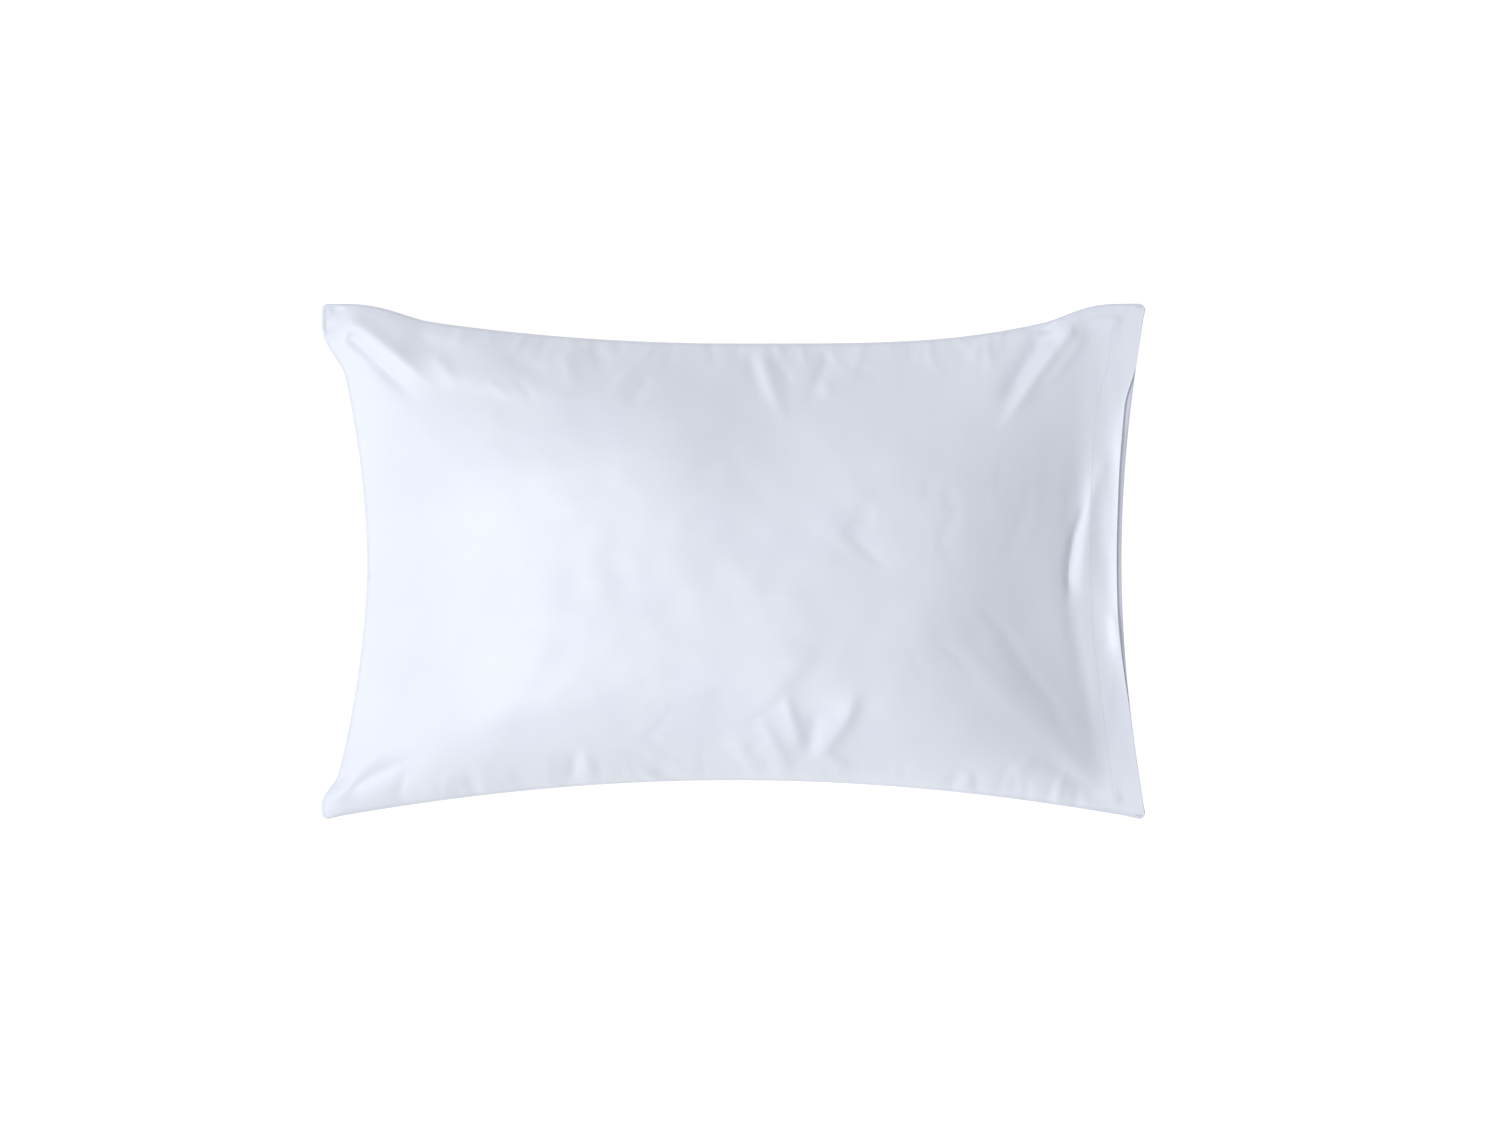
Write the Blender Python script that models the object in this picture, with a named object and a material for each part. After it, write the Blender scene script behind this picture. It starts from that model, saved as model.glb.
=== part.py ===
"""A bed pillow in an envelope-mouth cotton pillowcase, lying on its back.

Frame: metres, +Z up. X runs along the pillow, with the case's open mouth at +X. Y runs across it and
Z is its thickness. The origin is the middle of the rectangle it lies on, on the supporting surface.

Every cloth layer is a closed solid over cells of one shared plan grid. Layers that lie on each other
therefore have the same facets, and the gap between them holds everywhere once it holds at the corners.
"""

import math

import bpy
import numpy as np

MM = 0.001

# The filled case, from corner to corner, and its thickness above and below the seam plane.
CASE_LENGTH = 724 * MM
CASE_WIDTH = 453 * MM
SEAM_HEIGHT = 70 * MM
CROWN_RISE = 104 * MM
BELLY_DROP = 95 * MM

# How far the middle of each side is pulled in between its corners.
TOP_PULL = 35 * MM
BOTTOM_PULL = 33 * MM
END_PULL = 40 * MM
MOUTH_PULL = 23 * MM
PULL_ROUNDNESS = 2.8
PULL_FADE = 1.5

# The crown is (1 - a^DOME_SHARPNESS)^DOME_FULLNESS along each axis, a being 0 at the middle and 1 at the seam.
DOME_SHARPNESS = 2.6
DOME_FULLNESS = 0.75

# Cloth and clearances.
COTTON = 0.6 * MM
TICKING = 0.6 * MM
GAP = 0.36 * MM
STEEPEST_STRETCH = 2.2
STACK_SLACK = 1.4

# The case's seams, mouth and trim.
SEAM_ALLOWANCE = 6 * MM
SEAM_THICKNESS = 0.8 * MM
LINING_CLEARANCE = 3 * MM
MOUTH_SETBACK = 6.5 * MM
HEM_DEPTH = 28 * MM
HEM_STITCH_INSET = 2 * MM
THREAD_WIDTH = 1.2 * MM
THREAD_THICKNESS = 0.4 * MM
TUCK_DEPTH = 150 * MM
TUCK_HEM_DEPTH = 10 * MM

# The pillow inside.
INSERT_INSET = 14 * MM
PIPING_WIDTH = 3 * MM
FILL_MARGIN = 9 * MM
EDGE_STEEPNESS = 1.7
CLOSING_SEAM_LENGTH = 240 * MM
CLOSING_SEAM_INSET = 3 * MM

# Sewn-in labels, blank.
LABEL_WIDTH = 30 * MM
CARE_LABEL_LENGTH = 38 * MM
TICKING_LABEL_LENGTH = 42 * MM
LABEL_THICKNESS = 0.4 * MM

# The widest cell of the plan grid.
LARGEST_CELL = 56 * MM

HALF_LENGTH = CASE_LENGTH / 2
HALF_WIDTH = CASE_WIDTH / 2
LINING_INSET = SEAM_ALLOWANCE + LINING_CLEARANCE
PIPING_INSET = INSERT_INSET + PIPING_WIDTH
TICKING_INSET = PIPING_INSET + GAP
FILL_INSET = TICKING_INSET + FILL_MARGIN
# What lies between the front panel and the ticking: the mouth's hem, the tuck flap and its hem.
MOUTH_STACK = 3 * COTTON + 4 * GAP


def clear_scene():
    """Removes every object that the file opened with."""
    for thing in list(bpy.data.objects):
        bpy.data.objects.remove(thing, do_unlink=True)


class Lines:
    """The grid's lines along one axis: the named ones, and enough plain ones between them."""

    def __init__(self, named):
        self.named = named
        fixed = sorted(set(round(p, 7) for p in named.values()))
        places = [fixed[0]]
        for start, end in zip(fixed, fixed[1:]):
            steps = max(1, math.ceil((end - start) / LARGEST_CELL))
            places += [start + (end - start) * k / steps for k in range(1, steps + 1)]
        self.places = np.array(places)

    def at(self, name):
        """The index of the line with this name."""
        return int(np.abs(self.places - self.named[name]).argmin())


def inward(half, side, insets):
    """Named lines at these distances inside the edge at side * half."""
    return {name: side * (half - inset) for name, inset in insets.items()}


def plan_lines():
    """The lines that every layer starts or ends on, along X and along Y."""
    hem_end = MOUTH_SETBACK + HEM_DEPTH
    stitch = hem_end - HEM_STITCH_INSET
    closing = TICKING_INSET + CLOSING_SEAM_INSET
    end_side = {
        "end_edge": 0.0,
        "end_seam": SEAM_ALLOWANCE,
        "end_lining": LINING_INSET,
        "end_insert": INSERT_INSET,
        "end_piping": PIPING_INSET,
        "end_ticking": TICKING_INSET,
        "closing_outer": closing,
        "closing_inner": closing + THREAD_WIDTH,
        "end_fill": FILL_INSET,
        "care_label": LINING_INSET + CARE_LABEL_LENGTH,
    }
    mouth_side = {
        "mouth_fold": 0.0,
        "mouth_hem": MOUTH_SETBACK,
        "mouth_insert": INSERT_INSET,
        "mouth_piping": PIPING_INSET,
        "mouth_ticking": TICKING_INSET,
        "label_start": closing,
        "mouth_fill": FILL_INSET,
        "stitch_outer": stitch - THREAD_WIDTH,
        "stitch_inner": stitch,
        "hem_end": hem_end,
        "label_end": closing + TICKING_LABEL_LENGTH,
        "tuck_hem": TUCK_DEPTH - TUCK_HEM_DEPTH,
        "tuck_end": TUCK_DEPTH,
    }
    long_side = {
        "edge": 0.0,
        "seam": SEAM_ALLOWANCE,
        "lining": LINING_INSET,
        "insert": INSERT_INSET,
        "piping": PIPING_INSET,
        "ticking": TICKING_INSET,
        "fill": FILL_INSET,
        "closing": HALF_WIDTH - CLOSING_SEAM_LENGTH / 2,
        "label": HALF_WIDTH - LABEL_WIDTH / 2,
    }
    along = {**inward(HALF_LENGTH, -1, end_side), **inward(HALF_LENGTH, 1, mouth_side)}
    across = {
        **{f"{name}_low": y for name, y in inward(HALF_WIDTH, -1, long_side).items()},
        **{f"{name}_high": y for name, y in inward(HALF_WIDTH, 1, long_side).items()},
    }
    return Lines(along), Lines(across)


def pulled(place, half, depth):
    """How far a side is pulled in, at a place along it."""
    share = np.clip(np.abs(place) / half, 0, 1)
    return depth * (1 - share**PULL_ROUNDNESS) ** PULL_FADE


def dome(place, half):
    """The crown's height along one axis, 1 at the middle and 0 from the seam outwards."""
    share = np.clip(np.abs(place) / (half - SEAM_ALLOWANCE), 0, 1)
    return (1 - share**DOME_SHARPNESS) ** DOME_FULLNESS


class Pillow:
    """The plan grid and the height of every layer at its corners."""

    def __init__(self):
        self.x_lines, self.y_lines = plan_lines()
        s, t = np.meshgrid(self.x_lines.places, self.y_lines.places, indexing="ij")
        self.lay_out_plan(s, t)
        self.raise_edges(s, t)
        crown = dome(s, HALF_LENGTH) * dome(t, HALF_WIDTH)
        self.stack_front(crown)
        self.stack_back(crown)

    def lay_out_plan(self, s, t):
        """Pulls the rectangle's sides in between its corners."""
        end = np.where(s < 0, END_PULL, MOUTH_PULL)
        side = np.where(t < 0, BOTTOM_PULL, TOP_PULL)
        self.x = s * (1 - pulled(t, HALF_WIDTH, end) / HALF_LENGTH)
        self.y = t * (1 - pulled(s, HALF_LENGTH, side) / HALF_WIDTH)

    def raise_edges(self, s, t):
        """The room inside the case near its seams, and each corner's distance from the edge.

        The mouth is open, so there the room starts as wide as it is at the lining's edge.
        """
        sides = HALF_WIDTH - np.abs(t)
        end = HALF_LENGTH + s
        mouth = HALF_LENGTH - s
        self.inset = np.minimum(np.minimum(sides, end), mouth)
        reach = np.minimum(np.minimum(sides, end), mouth + LINING_INSET)
        sewn = SEAM_THICKNESS / 2 + GAP
        lined = STACK_SLACK * MOUTH_STACK / 2
        filled = STACK_SLACK * MOUTH_STACK + PIPING_WIDTH / 2
        steps = [0, SEAM_ALLOWANCE, LINING_INSET, INSERT_INSET]
        self.room = np.interp(reach, steps, [sewn, sewn, lined, filled])

    def stretch(self, height):
        """How much thicker a layer is along Z than across the cloth, from the cloth's slope."""
        rise = np.stack(
            [
                np.gradient(height, self.x_lines.places, axis=0),
                np.gradient(height, self.y_lines.places, axis=1),
            ]
        )
        return np.minimum(np.sqrt(1 + (rise**2).sum(axis=0)), STEEPEST_STRETCH)

    def insert_limit(self):
        """How far the ticking may stand from the seam plane, so that it closes on its piping."""
        inside = np.maximum(self.inset - PIPING_INSET, 0)
        return PIPING_WIDTH / 2 + EDGE_STEEPNESS * inside

    def stack_front(self, crown):
        """Heights of the layers above the pillow, from the front panel's outer face down."""
        inner = SEAM_HEIGHT + self.room + CROWN_RISE * crown
        k = self.stretch(inner)
        outer = inner + COTTON * k
        self.front = (inner, outer)
        self.mouth_hem = self.next_below(self.front, COTTON, k)
        self.tuck = self.next_below(self.mouth_hem, COTTON, k)
        self.tuck_hem = self.next_below(self.tuck, COTTON, k)
        self.top_label = (self.tuck_hem[1] - LABEL_THICKNESS * k, self.tuck_hem[1])
        under = self.tuck_hem[0] - GAP * k
        high = np.minimum(under, SEAM_HEIGHT + self.insert_limit())
        self.ticking_top = (high - TICKING * k, high)
        self.fill_high = high - (TICKING + GAP) * k
        self.thread = (outer + GAP * k, outer + GAP * k + THREAD_THICKNESS)

    def stack_back(self, crown):
        """Heights of the layers below the pillow, from the back panel's outer face up.

        The back panel rests on the surface, so it is cut off flat there.
        """
        inner = np.maximum(SEAM_HEIGHT - self.room - BELLY_DROP * crown, COTTON)
        k = self.stretch(inner)
        self.back = (np.maximum(inner - COTTON * k, 0), inner)
        self.care_label = (self.back[1] + GAP * k, self.back[1] + (GAP + LABEL_THICKNESS) * k)
        over = self.care_label[1] + GAP * k
        low = np.maximum(over, SEAM_HEIGHT - self.insert_limit())
        self.ticking_bottom = (low, low + TICKING * k)
        self.fill_low = low + (TICKING + GAP) * k

    @staticmethod
    def next_below(above, thickness, k):
        """A layer of this thickness, one gap below another."""
        top = above[0] - GAP * k
        return (top - thickness * k, top)

    def level(self, thickness):
        """A flat layer of this thickness on the seam plane."""
        flat = np.full_like(self.x, SEAM_HEIGHT)
        return (flat - thickness / 2, flat + thickness / 2)

    def cells(self, x_from, x_to, y_from, y_to):
        """The cells between these named lines."""
        chosen = np.zeros((len(self.x_lines.places) - 1, len(self.y_lines.places) - 1), bool)
        columns = slice(*sorted((self.x_lines.at(x_from), self.x_lines.at(x_to))))
        rows = slice(*sorted((self.y_lines.at(y_from), self.y_lines.at(y_to))))
        chosen[columns, rows] = True
        return chosen

    def solid(self, name, chosen, heights, material):
        """One closed body over the chosen cells, between the two heights."""
        low, high = heights
        used = np.zeros(self.x.shape, bool)
        for i, j in ((0, 0), (1, 0), (0, 1), (1, 1)):
            used[i : i + chosen.shape[0], j : j + chosen.shape[1]] |= chosen
        count = int(used.sum())
        number = np.full(used.shape, -1)
        number[used] = np.arange(count)
        points = [np.stack([self.x[used], self.y[used], z[used]], axis=1) for z in (low, high)]
        faces = []
        padded = np.pad(chosen, 1)
        for i, j in np.argwhere(chosen):
            ring = [number[i, j], number[i + 1, j], number[i + 1, j + 1], number[i, j + 1]]
            faces += split(ring, lift=count, up=True)
            faces += split(ring, lift=0, up=False)
            neighbours = (padded[i + 1, j], padded[i + 2, j + 1], padded[i + 1, j + 2], padded[i, j + 1])
            for side, covered in enumerate(neighbours):
                if not covered:
                    a, b = ring[side], ring[(side + 1) % 4]
                    faces += [(a, b, b + count), (a, b + count, a + count)]
        mesh = bpy.data.meshes.new(name)
        mesh.from_pydata(np.concatenate(points).tolist(), [], faces)
        mesh.shade_smooth()
        mesh.set_sharp_from_angle(angle=math.radians(50))
        mesh.materials.append(material)
        thing = bpy.data.objects.new(name, mesh)
        bpy.context.scene.collection.objects.link(thing)
        return thing


def split(ring, lift, up):
    """The two triangles of a cell, always across the same diagonal, facing up or down."""
    a, b, c, d = (int(n) + lift for n in ring)
    return [(a, b, c), (a, c, d)] if up else [(a, c, b), (a, d, c)]


def finish(name, colour, roughness):
    """A Principled material of one colour."""
    material = bpy.data.materials.new(name)
    material.use_nodes = True
    shader = material.node_tree.nodes["Principled BSDF"]
    shader.inputs["Base Color"].default_value = (*colour, 1)
    shader.inputs["Roughness"].default_value = roughness
    shader.inputs["Metallic"].default_value = 0
    return material


def make_case(pillow, group):
    """The pillowcase: two panels, the tuck flap behind the mouth, hems, seams, tacks and label."""
    sateen = finish("cotton_sateen", (0.86, 0.88, 0.93), 0.55)
    thread = finish("sewing_thread", (0.88, 0.89, 0.92), 0.5)
    satin = finish("label_satin", (0.9, 0.9, 0.9), 0.4)
    cells, solid = pillow.cells, pillow.solid
    whole = ("edge_low", "edge_high")
    lined = ("lining_low", "lining_high")
    made = [
        solid("case_front_panel", cells("end_edge", "mouth_hem", *whole), pillow.front, sateen),
        solid("case_back_panel", cells("end_edge", "mouth_fold", *whole), pillow.back, sateen),
        solid("case_mouth_hem", cells("hem_end", "mouth_hem", *lined), pillow.mouth_hem, sateen),
        solid("case_tuck_flap", cells("tuck_end", "mouth_fold", *lined), pillow.tuck, sateen),
        solid("case_tuck_flap_hem", cells("tuck_end", "tuck_hem", *lined), pillow.tuck_hem, sateen),
        solid("case_mouth_stitching", cells("stitch_inner", "stitch_outer", *lined), pillow.thread, thread),
    ]
    allowance = pillow.level(SEAM_THICKNESS)
    for name, outer, inner in (("top", "edge_high", "seam_high"), ("bottom", "edge_low", "seam_low")):
        chosen = cells("end_edge", "mouth_hem", outer, inner)
        made.append(solid(f"case_{name}_seam", chosen, allowance, sateen))
        chosen = cells("mouth_insert", "mouth_hem", outer, inner)
        made.append(solid(f"case_{name}_mouth_tack", chosen, pillow.thread, thread))
    made.append(solid("case_end_seam", cells("end_edge", "end_seam", *lined), allowance, sateen))
    chosen = cells("end_lining", "care_label", "label_low", "label_high")
    made.append(solid("case_care_label", chosen, pillow.care_label, satin))
    for thing in made:
        thing.parent = group


def make_insert(pillow, group):
    """The pillow itself: fibre fill in a ticking cover with a piped edge, closing seam and label."""
    ticking = finish("ticking_cotton", (0.84, 0.84, 0.82), 0.7)
    piping = finish("piping_cotton", (0.82, 0.82, 0.8), 0.65)
    fibre = finish("polyester_fibre", (0.92, 0.92, 0.91), 0.9)
    thread = finish("ticking_thread", (0.85, 0.85, 0.83), 0.5)
    satin = finish("ticking_label_satin", (0.9, 0.9, 0.88), 0.4)
    cells, solid = pillow.cells, pillow.solid
    cover = cells("end_ticking", "mouth_ticking", "ticking_low", "ticking_high")
    core = cells("end_fill", "mouth_fill", "fill_low", "fill_high")
    outer = cells("end_insert", "mouth_insert", "insert_low", "insert_high")
    inner = cells("end_piping", "mouth_piping", "piping_low", "piping_high")
    closing = cells("closing_outer", "closing_inner", "closing_low", "closing_high")
    label = cells("label_start", "label_end", "label_low", "label_high")
    made = [
        solid("ticking_top_panel", cover, pillow.ticking_top, ticking),
        solid("ticking_bottom_panel", cover, pillow.ticking_bottom, ticking),
        solid("ticking_piping", outer & ~inner, pillow.level(PIPING_WIDTH), piping),
        solid("fibre_fill", core, (pillow.fill_low, pillow.fill_high), fibre),
        solid("ticking_closing_stitch", closing, pillow.top_label, thread),
        solid("ticking_label", label, pillow.top_label, satin),
    ]
    for thing in made:
        thing.parent = group


def main():
    """Builds the case, and the pillow that slides out of its mouth along +X."""
    clear_scene()
    pillow = Pillow()
    for name, make in (("case", make_case), ("insert", make_insert)):
        group = bpy.data.objects.new(name, None)
        bpy.context.scene.collection.objects.link(group)
        make(pillow, group)


main()
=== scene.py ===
"""The looks of a bed pillow in a white cotton sateen pillowcase with an envelope mouth.

Everything is in metres in the frame's own axes: +X along the pillow towards the case's mouth, +Y
across it, +Z up. Each cloth is a surface over flat cloth coordinates (s, t): s runs along the case
and t across it, both measured before the filling pulled its sides in.
"""

import logging
import math
from dataclasses import dataclass, field
from enum import Enum
from functools import cache

import bpy
import numpy as np
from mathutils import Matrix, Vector


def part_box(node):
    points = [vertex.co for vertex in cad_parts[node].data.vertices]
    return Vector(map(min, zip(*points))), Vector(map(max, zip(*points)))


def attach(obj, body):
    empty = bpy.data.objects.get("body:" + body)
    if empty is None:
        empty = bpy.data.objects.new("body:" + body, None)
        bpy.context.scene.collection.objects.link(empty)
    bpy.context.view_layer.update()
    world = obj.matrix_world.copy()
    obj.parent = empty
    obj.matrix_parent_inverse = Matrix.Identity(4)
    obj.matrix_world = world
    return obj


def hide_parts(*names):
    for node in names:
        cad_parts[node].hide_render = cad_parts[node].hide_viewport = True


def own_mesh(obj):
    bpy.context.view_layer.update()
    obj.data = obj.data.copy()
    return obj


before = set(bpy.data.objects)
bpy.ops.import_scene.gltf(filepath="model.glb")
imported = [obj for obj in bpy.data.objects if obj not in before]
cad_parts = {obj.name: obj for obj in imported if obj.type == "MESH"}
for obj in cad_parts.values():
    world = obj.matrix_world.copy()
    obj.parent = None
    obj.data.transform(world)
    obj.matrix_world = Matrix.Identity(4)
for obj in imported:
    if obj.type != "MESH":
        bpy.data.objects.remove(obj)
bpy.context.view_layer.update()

MM = 0.001
LOG = logging.getLogger("pillow")
# What a piece with no seam of its own gives as its distance from one.
FAR_FROM_SEAM = 10 * MM

# The folds and the settled cloth stand this far above the crown.
FOLD_ROOM = 2 * MM
# The back's own swelling would reach this far below the table, which presses it flat.
PRESSED_FLAT = 25 * MM

Tree = bpy.types.NodeTree
Socket = bpy.types.NodeSocket
Colour = tuple[float, float, float, float]
Grids = tuple[np.ndarray, np.ndarray]


# ---------------------------------------------------------------------------------------------
# Small numeric helpers
# ---------------------------------------------------------------------------------------------


def smoothstep(value: np.ndarray) -> np.ndarray:
    """Rises from 0 to 1 with flat ends: 3v^2 - 2v^3 of the value clipped to 0..1."""
    clipped = np.clip(value, 0.0, 1.0)
    return clipped * clipped * (3.0 - 2.0 * clipped)


def soft_floor(value: np.ndarray, softness: float) -> np.ndarray:
    """Keeps a height above zero, bending over a length of softness: softness * ln(1 + e^(v / softness))."""
    return softness * np.logaddexp(0.0, value / softness)


def soft_minimum(one: np.ndarray, other: np.ndarray, softness: float) -> np.ndarray:
    """The lower of two heights, with the corner between them rounded over a length of softness."""
    return one - soft_floor(one - other, softness)


def eased_share(value: np.ndarray, ease: float) -> np.ndarray:
    """A share of the way, 0..1, that starts off gently: (sqrt(v^2 + e^2) - e) over its value at 1."""
    clipped = np.clip(value, 0, 1)
    return (np.sqrt(clipped**2 + ease**2) - ease) / (math.sqrt(1 + ease**2) - ease)


def graded_lines(low: float, high: float, cell: float, first: float, growth: float = 1.22) -> np.ndarray:
    """Grid lines that start close together at both ends and open out to an even spacing.

    Args:
        low: The first line.
        high: The last line.
        cell: The widest spacing.
        first: The spacing at the ends.
        growth: Each spacing over the one before it.

    Returns:
        The lines' places, low to high.
    """
    widest = min(cell, (high - low) / 6)
    count = math.ceil(math.log(max(widest / first, 1)) / math.log(growth))
    steps = first * growth ** np.arange(count)
    steps = steps[: np.searchsorted(np.cumsum(steps), 0.35 * (high - low))]
    edge = np.concatenate([[0.0], np.cumsum(steps)])
    count = max(3, round((high - low - 2 * edge[-1]) / widest) + 1)
    inside = np.linspace(low + edge[-1], high - edge[-1], count)
    return np.concatenate([low + edge[:-1], inside, (high - edge[:-1])[::-1]])


def cubic_taps(count: int, places: np.ndarray) -> tuple[list[np.ndarray], list[np.ndarray]]:
    """The four neighbouring samples of each place and their Catmull-Rom weights.

    Args:
        count: How many even samples there are over -1..1.
        places: Where they are read, each -1..1.

    Returns:
        Four arrays of sample numbers, and four of weights.
    """
    index = (np.clip(places, -1, 1) + 1) / 2 * (count - 1)
    cell = np.clip(np.floor(index).astype(int), 0, count - 2)
    u = index - cell
    weights = [
        -0.5 * u + u**2 - 0.5 * u**3,
        1 - 2.5 * u**2 + 1.5 * u**3,
        0.5 * u + 2 * u**2 - 1.5 * u**3,
        -0.5 * u**2 + 0.5 * u**3,
    ]
    return [np.clip(cell + offset, 0, count - 1) for offset in (-1, 0, 1, 2)], weights


def sample_cubic(grid: np.ndarray, a: np.ndarray, b: np.ndarray) -> np.ndarray:
    """Reads a grid of vectors, even over -1..1 both ways, at other places by bicubic interpolation.

    Args:
        grid: The vectors, on an even grid.
        a: Places along the grid's first axis, -1..1.
        b: Places along its second axis, -1..1.

    Returns:
        A vector for each place.
    """
    rows, row_weights = cubic_taps(grid.shape[0], a)
    columns, column_weights = cubic_taps(grid.shape[1], b)
    result = np.zeros((*np.shape(a), grid.shape[2]))
    for row, p in zip(rows, row_weights):
        for column, q in zip(columns, column_weights):
            result += grid[row, column] * (p * q)[..., None]
    return result


def smoothed(grid: np.ndarray, passes: int) -> np.ndarray:
    """A grid averaged with its neighbours along both axes, its rim repeated outwards.

    Args:
        grid: The values, or vectors, on a grid.
        passes: How many times they are averaged.

    Returns:
        The smoothed grid.
    """
    for _ in range(passes):
        for axis in (0, 1):
            rims = [(1, 1) if k == axis else (0, 0) for k in range(grid.ndim)]
            padded = np.pad(grid, rims, mode="edge")
            before = np.take(padded, range(0, grid.shape[axis]), axis)
            after = np.take(padded, range(2, grid.shape[axis] + 2), axis)
            grid = 0.25 * before + 0.5 * grid + 0.25 * after
    return grid


def smooth_noise(shape: tuple[int, int], seed: int, passes: int) -> np.ndarray:
    """Seeded noise over a grid, smoothed and scaled to a spread of 1."""
    noise = smoothed(np.random.default_rng(seed).standard_normal(shape), passes)
    return noise / noise.std()


def unit(vectors: np.ndarray) -> np.ndarray:
    """Vectors scaled to a length of 1."""
    return vectors / np.linalg.norm(vectors, axis=-1, keepdims=True)


def round_corners(
    s: np.ndarray, t: np.ndarray, half_length: float, half_width: float, radius: float
) -> Grids:
    """Bends the square corners of a cloth into quarter circles.

    Within a corner's square, (m, n) become m * sqrt(1 - n^2 / 2) and n * sqrt(1 - m^2 / 2).

    Args:
        s: Flat coordinates along the cloth, from its middle.
        t: Flat coordinates across it, from its middle.
        half_length: Half the cloth's length.
        half_width: Half its width.
        radius: The corners' radius.

    Returns:
        The new flat coordinates.
    """
    m = np.clip((np.abs(s) - half_length + radius) / radius, 0, 1)
    n = np.clip((np.abs(t) - half_width + radius) / radius, 0, 1)
    ds = radius * (m * np.sqrt(1 - n**2 / 2) - m)
    dt = radius * (n * np.sqrt(1 - m**2 / 2) - n)
    return s + np.sign(s) * ds, t + np.sign(t) * dt


def surface_normals(points: np.ndarray) -> np.ndarray:
    """Unit normals of a grid of points: the cross product of its two tangents."""
    normal = np.cross(np.gradient(points, axis=0), np.gradient(points, axis=1))
    return normal / np.maximum(np.linalg.norm(normal, axis=-1, keepdims=True), 1e-12)


# ---------------------------------------------------------------------------------------------
# Finishes
# ---------------------------------------------------------------------------------------------


def linear(hex_colour: str) -> Colour:
    """An sRGB hex colour as linear RGBA.

    Args:
        hex_colour: Six hexadecimal digits.

    Returns:
        Red, green, blue and an alpha of 1.
    """
    channels = [int(hex_colour[k : k + 2], 16) / 255 for k in (0, 2, 4)]
    curve = [c / 12.92 if c <= 0.04045 else ((c + 0.055) / 1.055) ** 2.4 for c in channels]
    return (*curve, 1.0)


def add_node(
    tree: Tree, kind: str, links: dict[str | int, object] | None = None, **settings: object
) -> bpy.types.Node:
    """Adds a shader node with its settings and its links.

    Args:
        tree: The material's node tree.
        kind: The node's type name, without the ShaderNode prefix.
        links: Input name or index to the value it holds or the output socket that feeds it.
        **settings: The node's own properties.

    Returns:
        The new node.
    """
    node = tree.nodes.new(f"ShaderNode{kind}")
    for name, value in settings.items():
        setattr(node, name, value)
    for key, value in (links or {}).items():
        if isinstance(value, bpy.types.NodeSocket):
            tree.links.new(value, node.inputs[key])
        else:
            node.inputs[key].default_value = value
    return node


def ramp_between(tree: Tree, factor: Socket, low: float, high: float) -> Socket:
    """A value's low..high stretched to 0..1 with soft ends, as an output socket."""
    limits = {"Value": factor, "From Min": low, "From Max": high}
    return add_node(tree, "MapRange", limits, interpolation_type="SMOOTHSTEP").outputs["Result"]


def colour_mix(tree: Tree, factor: Socket, one: Socket | Colour, other: Socket | Colour) -> Socket:
    """Two colours mixed by a factor, as an output socket."""
    return add_node(tree, "Mix", {0: factor, 6: one, 7: other}, data_type="RGBA").outputs[2]


def bumped(
    tree: Tree, height: Socket, distance: float, strength: float, below: Socket | None = None
) -> Socket:
    """A normal raised by a height map.

    Args:
        tree: The material's node tree.
        height: The height map, 0..1.
        distance: How high 1 stands.
        strength: How strongly it shows.
        below: The normal it is raised from, where it isn't the mesh's own.

    Returns:
        The normal's output socket.
    """
    links = {"Height": height, "Distance": distance, "Strength": strength}
    if below is not None:
        links["Normal"] = below
    return add_node(tree, "Bump", links).outputs["Normal"]


def new_material(name: str) -> tuple[bpy.types.Material, Tree, bpy.types.Node]:
    """Makes a node material.

    Args:
        name: The material's name.

    Returns:
        The material, its node tree and its shader.
    """
    made = bpy.data.materials.new(name)
    made.use_nodes = True
    return made, made.node_tree, made.node_tree.nodes["Principled BSDF"]


def dress_shader(
    tree: Tree,
    shader: bpy.types.Node,
    colour: Socket,
    grain: Socket,
    roughness: tuple[float, float],
    normal: Socket,
) -> None:
    """Feeds a shader its colour, its roughness and its normal.

    Args:
        tree: The material's node tree.
        shader: The shader.
        colour: The base colour.
        grain: What spreads the roughness, 0..1.
        roughness: The roughness where the grain is 0 and where it is 1.
        normal: The normal.
    """
    limits = {"Value": grain, "To Min": roughness[0], "To Max": roughness[1]}
    tree.links.new(colour, shader.inputs["Base Color"])
    tree.links.new(add_node(tree, "MapRange", limits).outputs["Result"], shader.inputs["Roughness"])
    tree.links.new(normal, shader.inputs["Normal"])


class Weave(Enum):
    """How a cloth's threads cross."""

    SATEEN = "sateen"
    PLAIN = "plain"
    SATIN_RIBBON = "satin ribbon"


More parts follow.
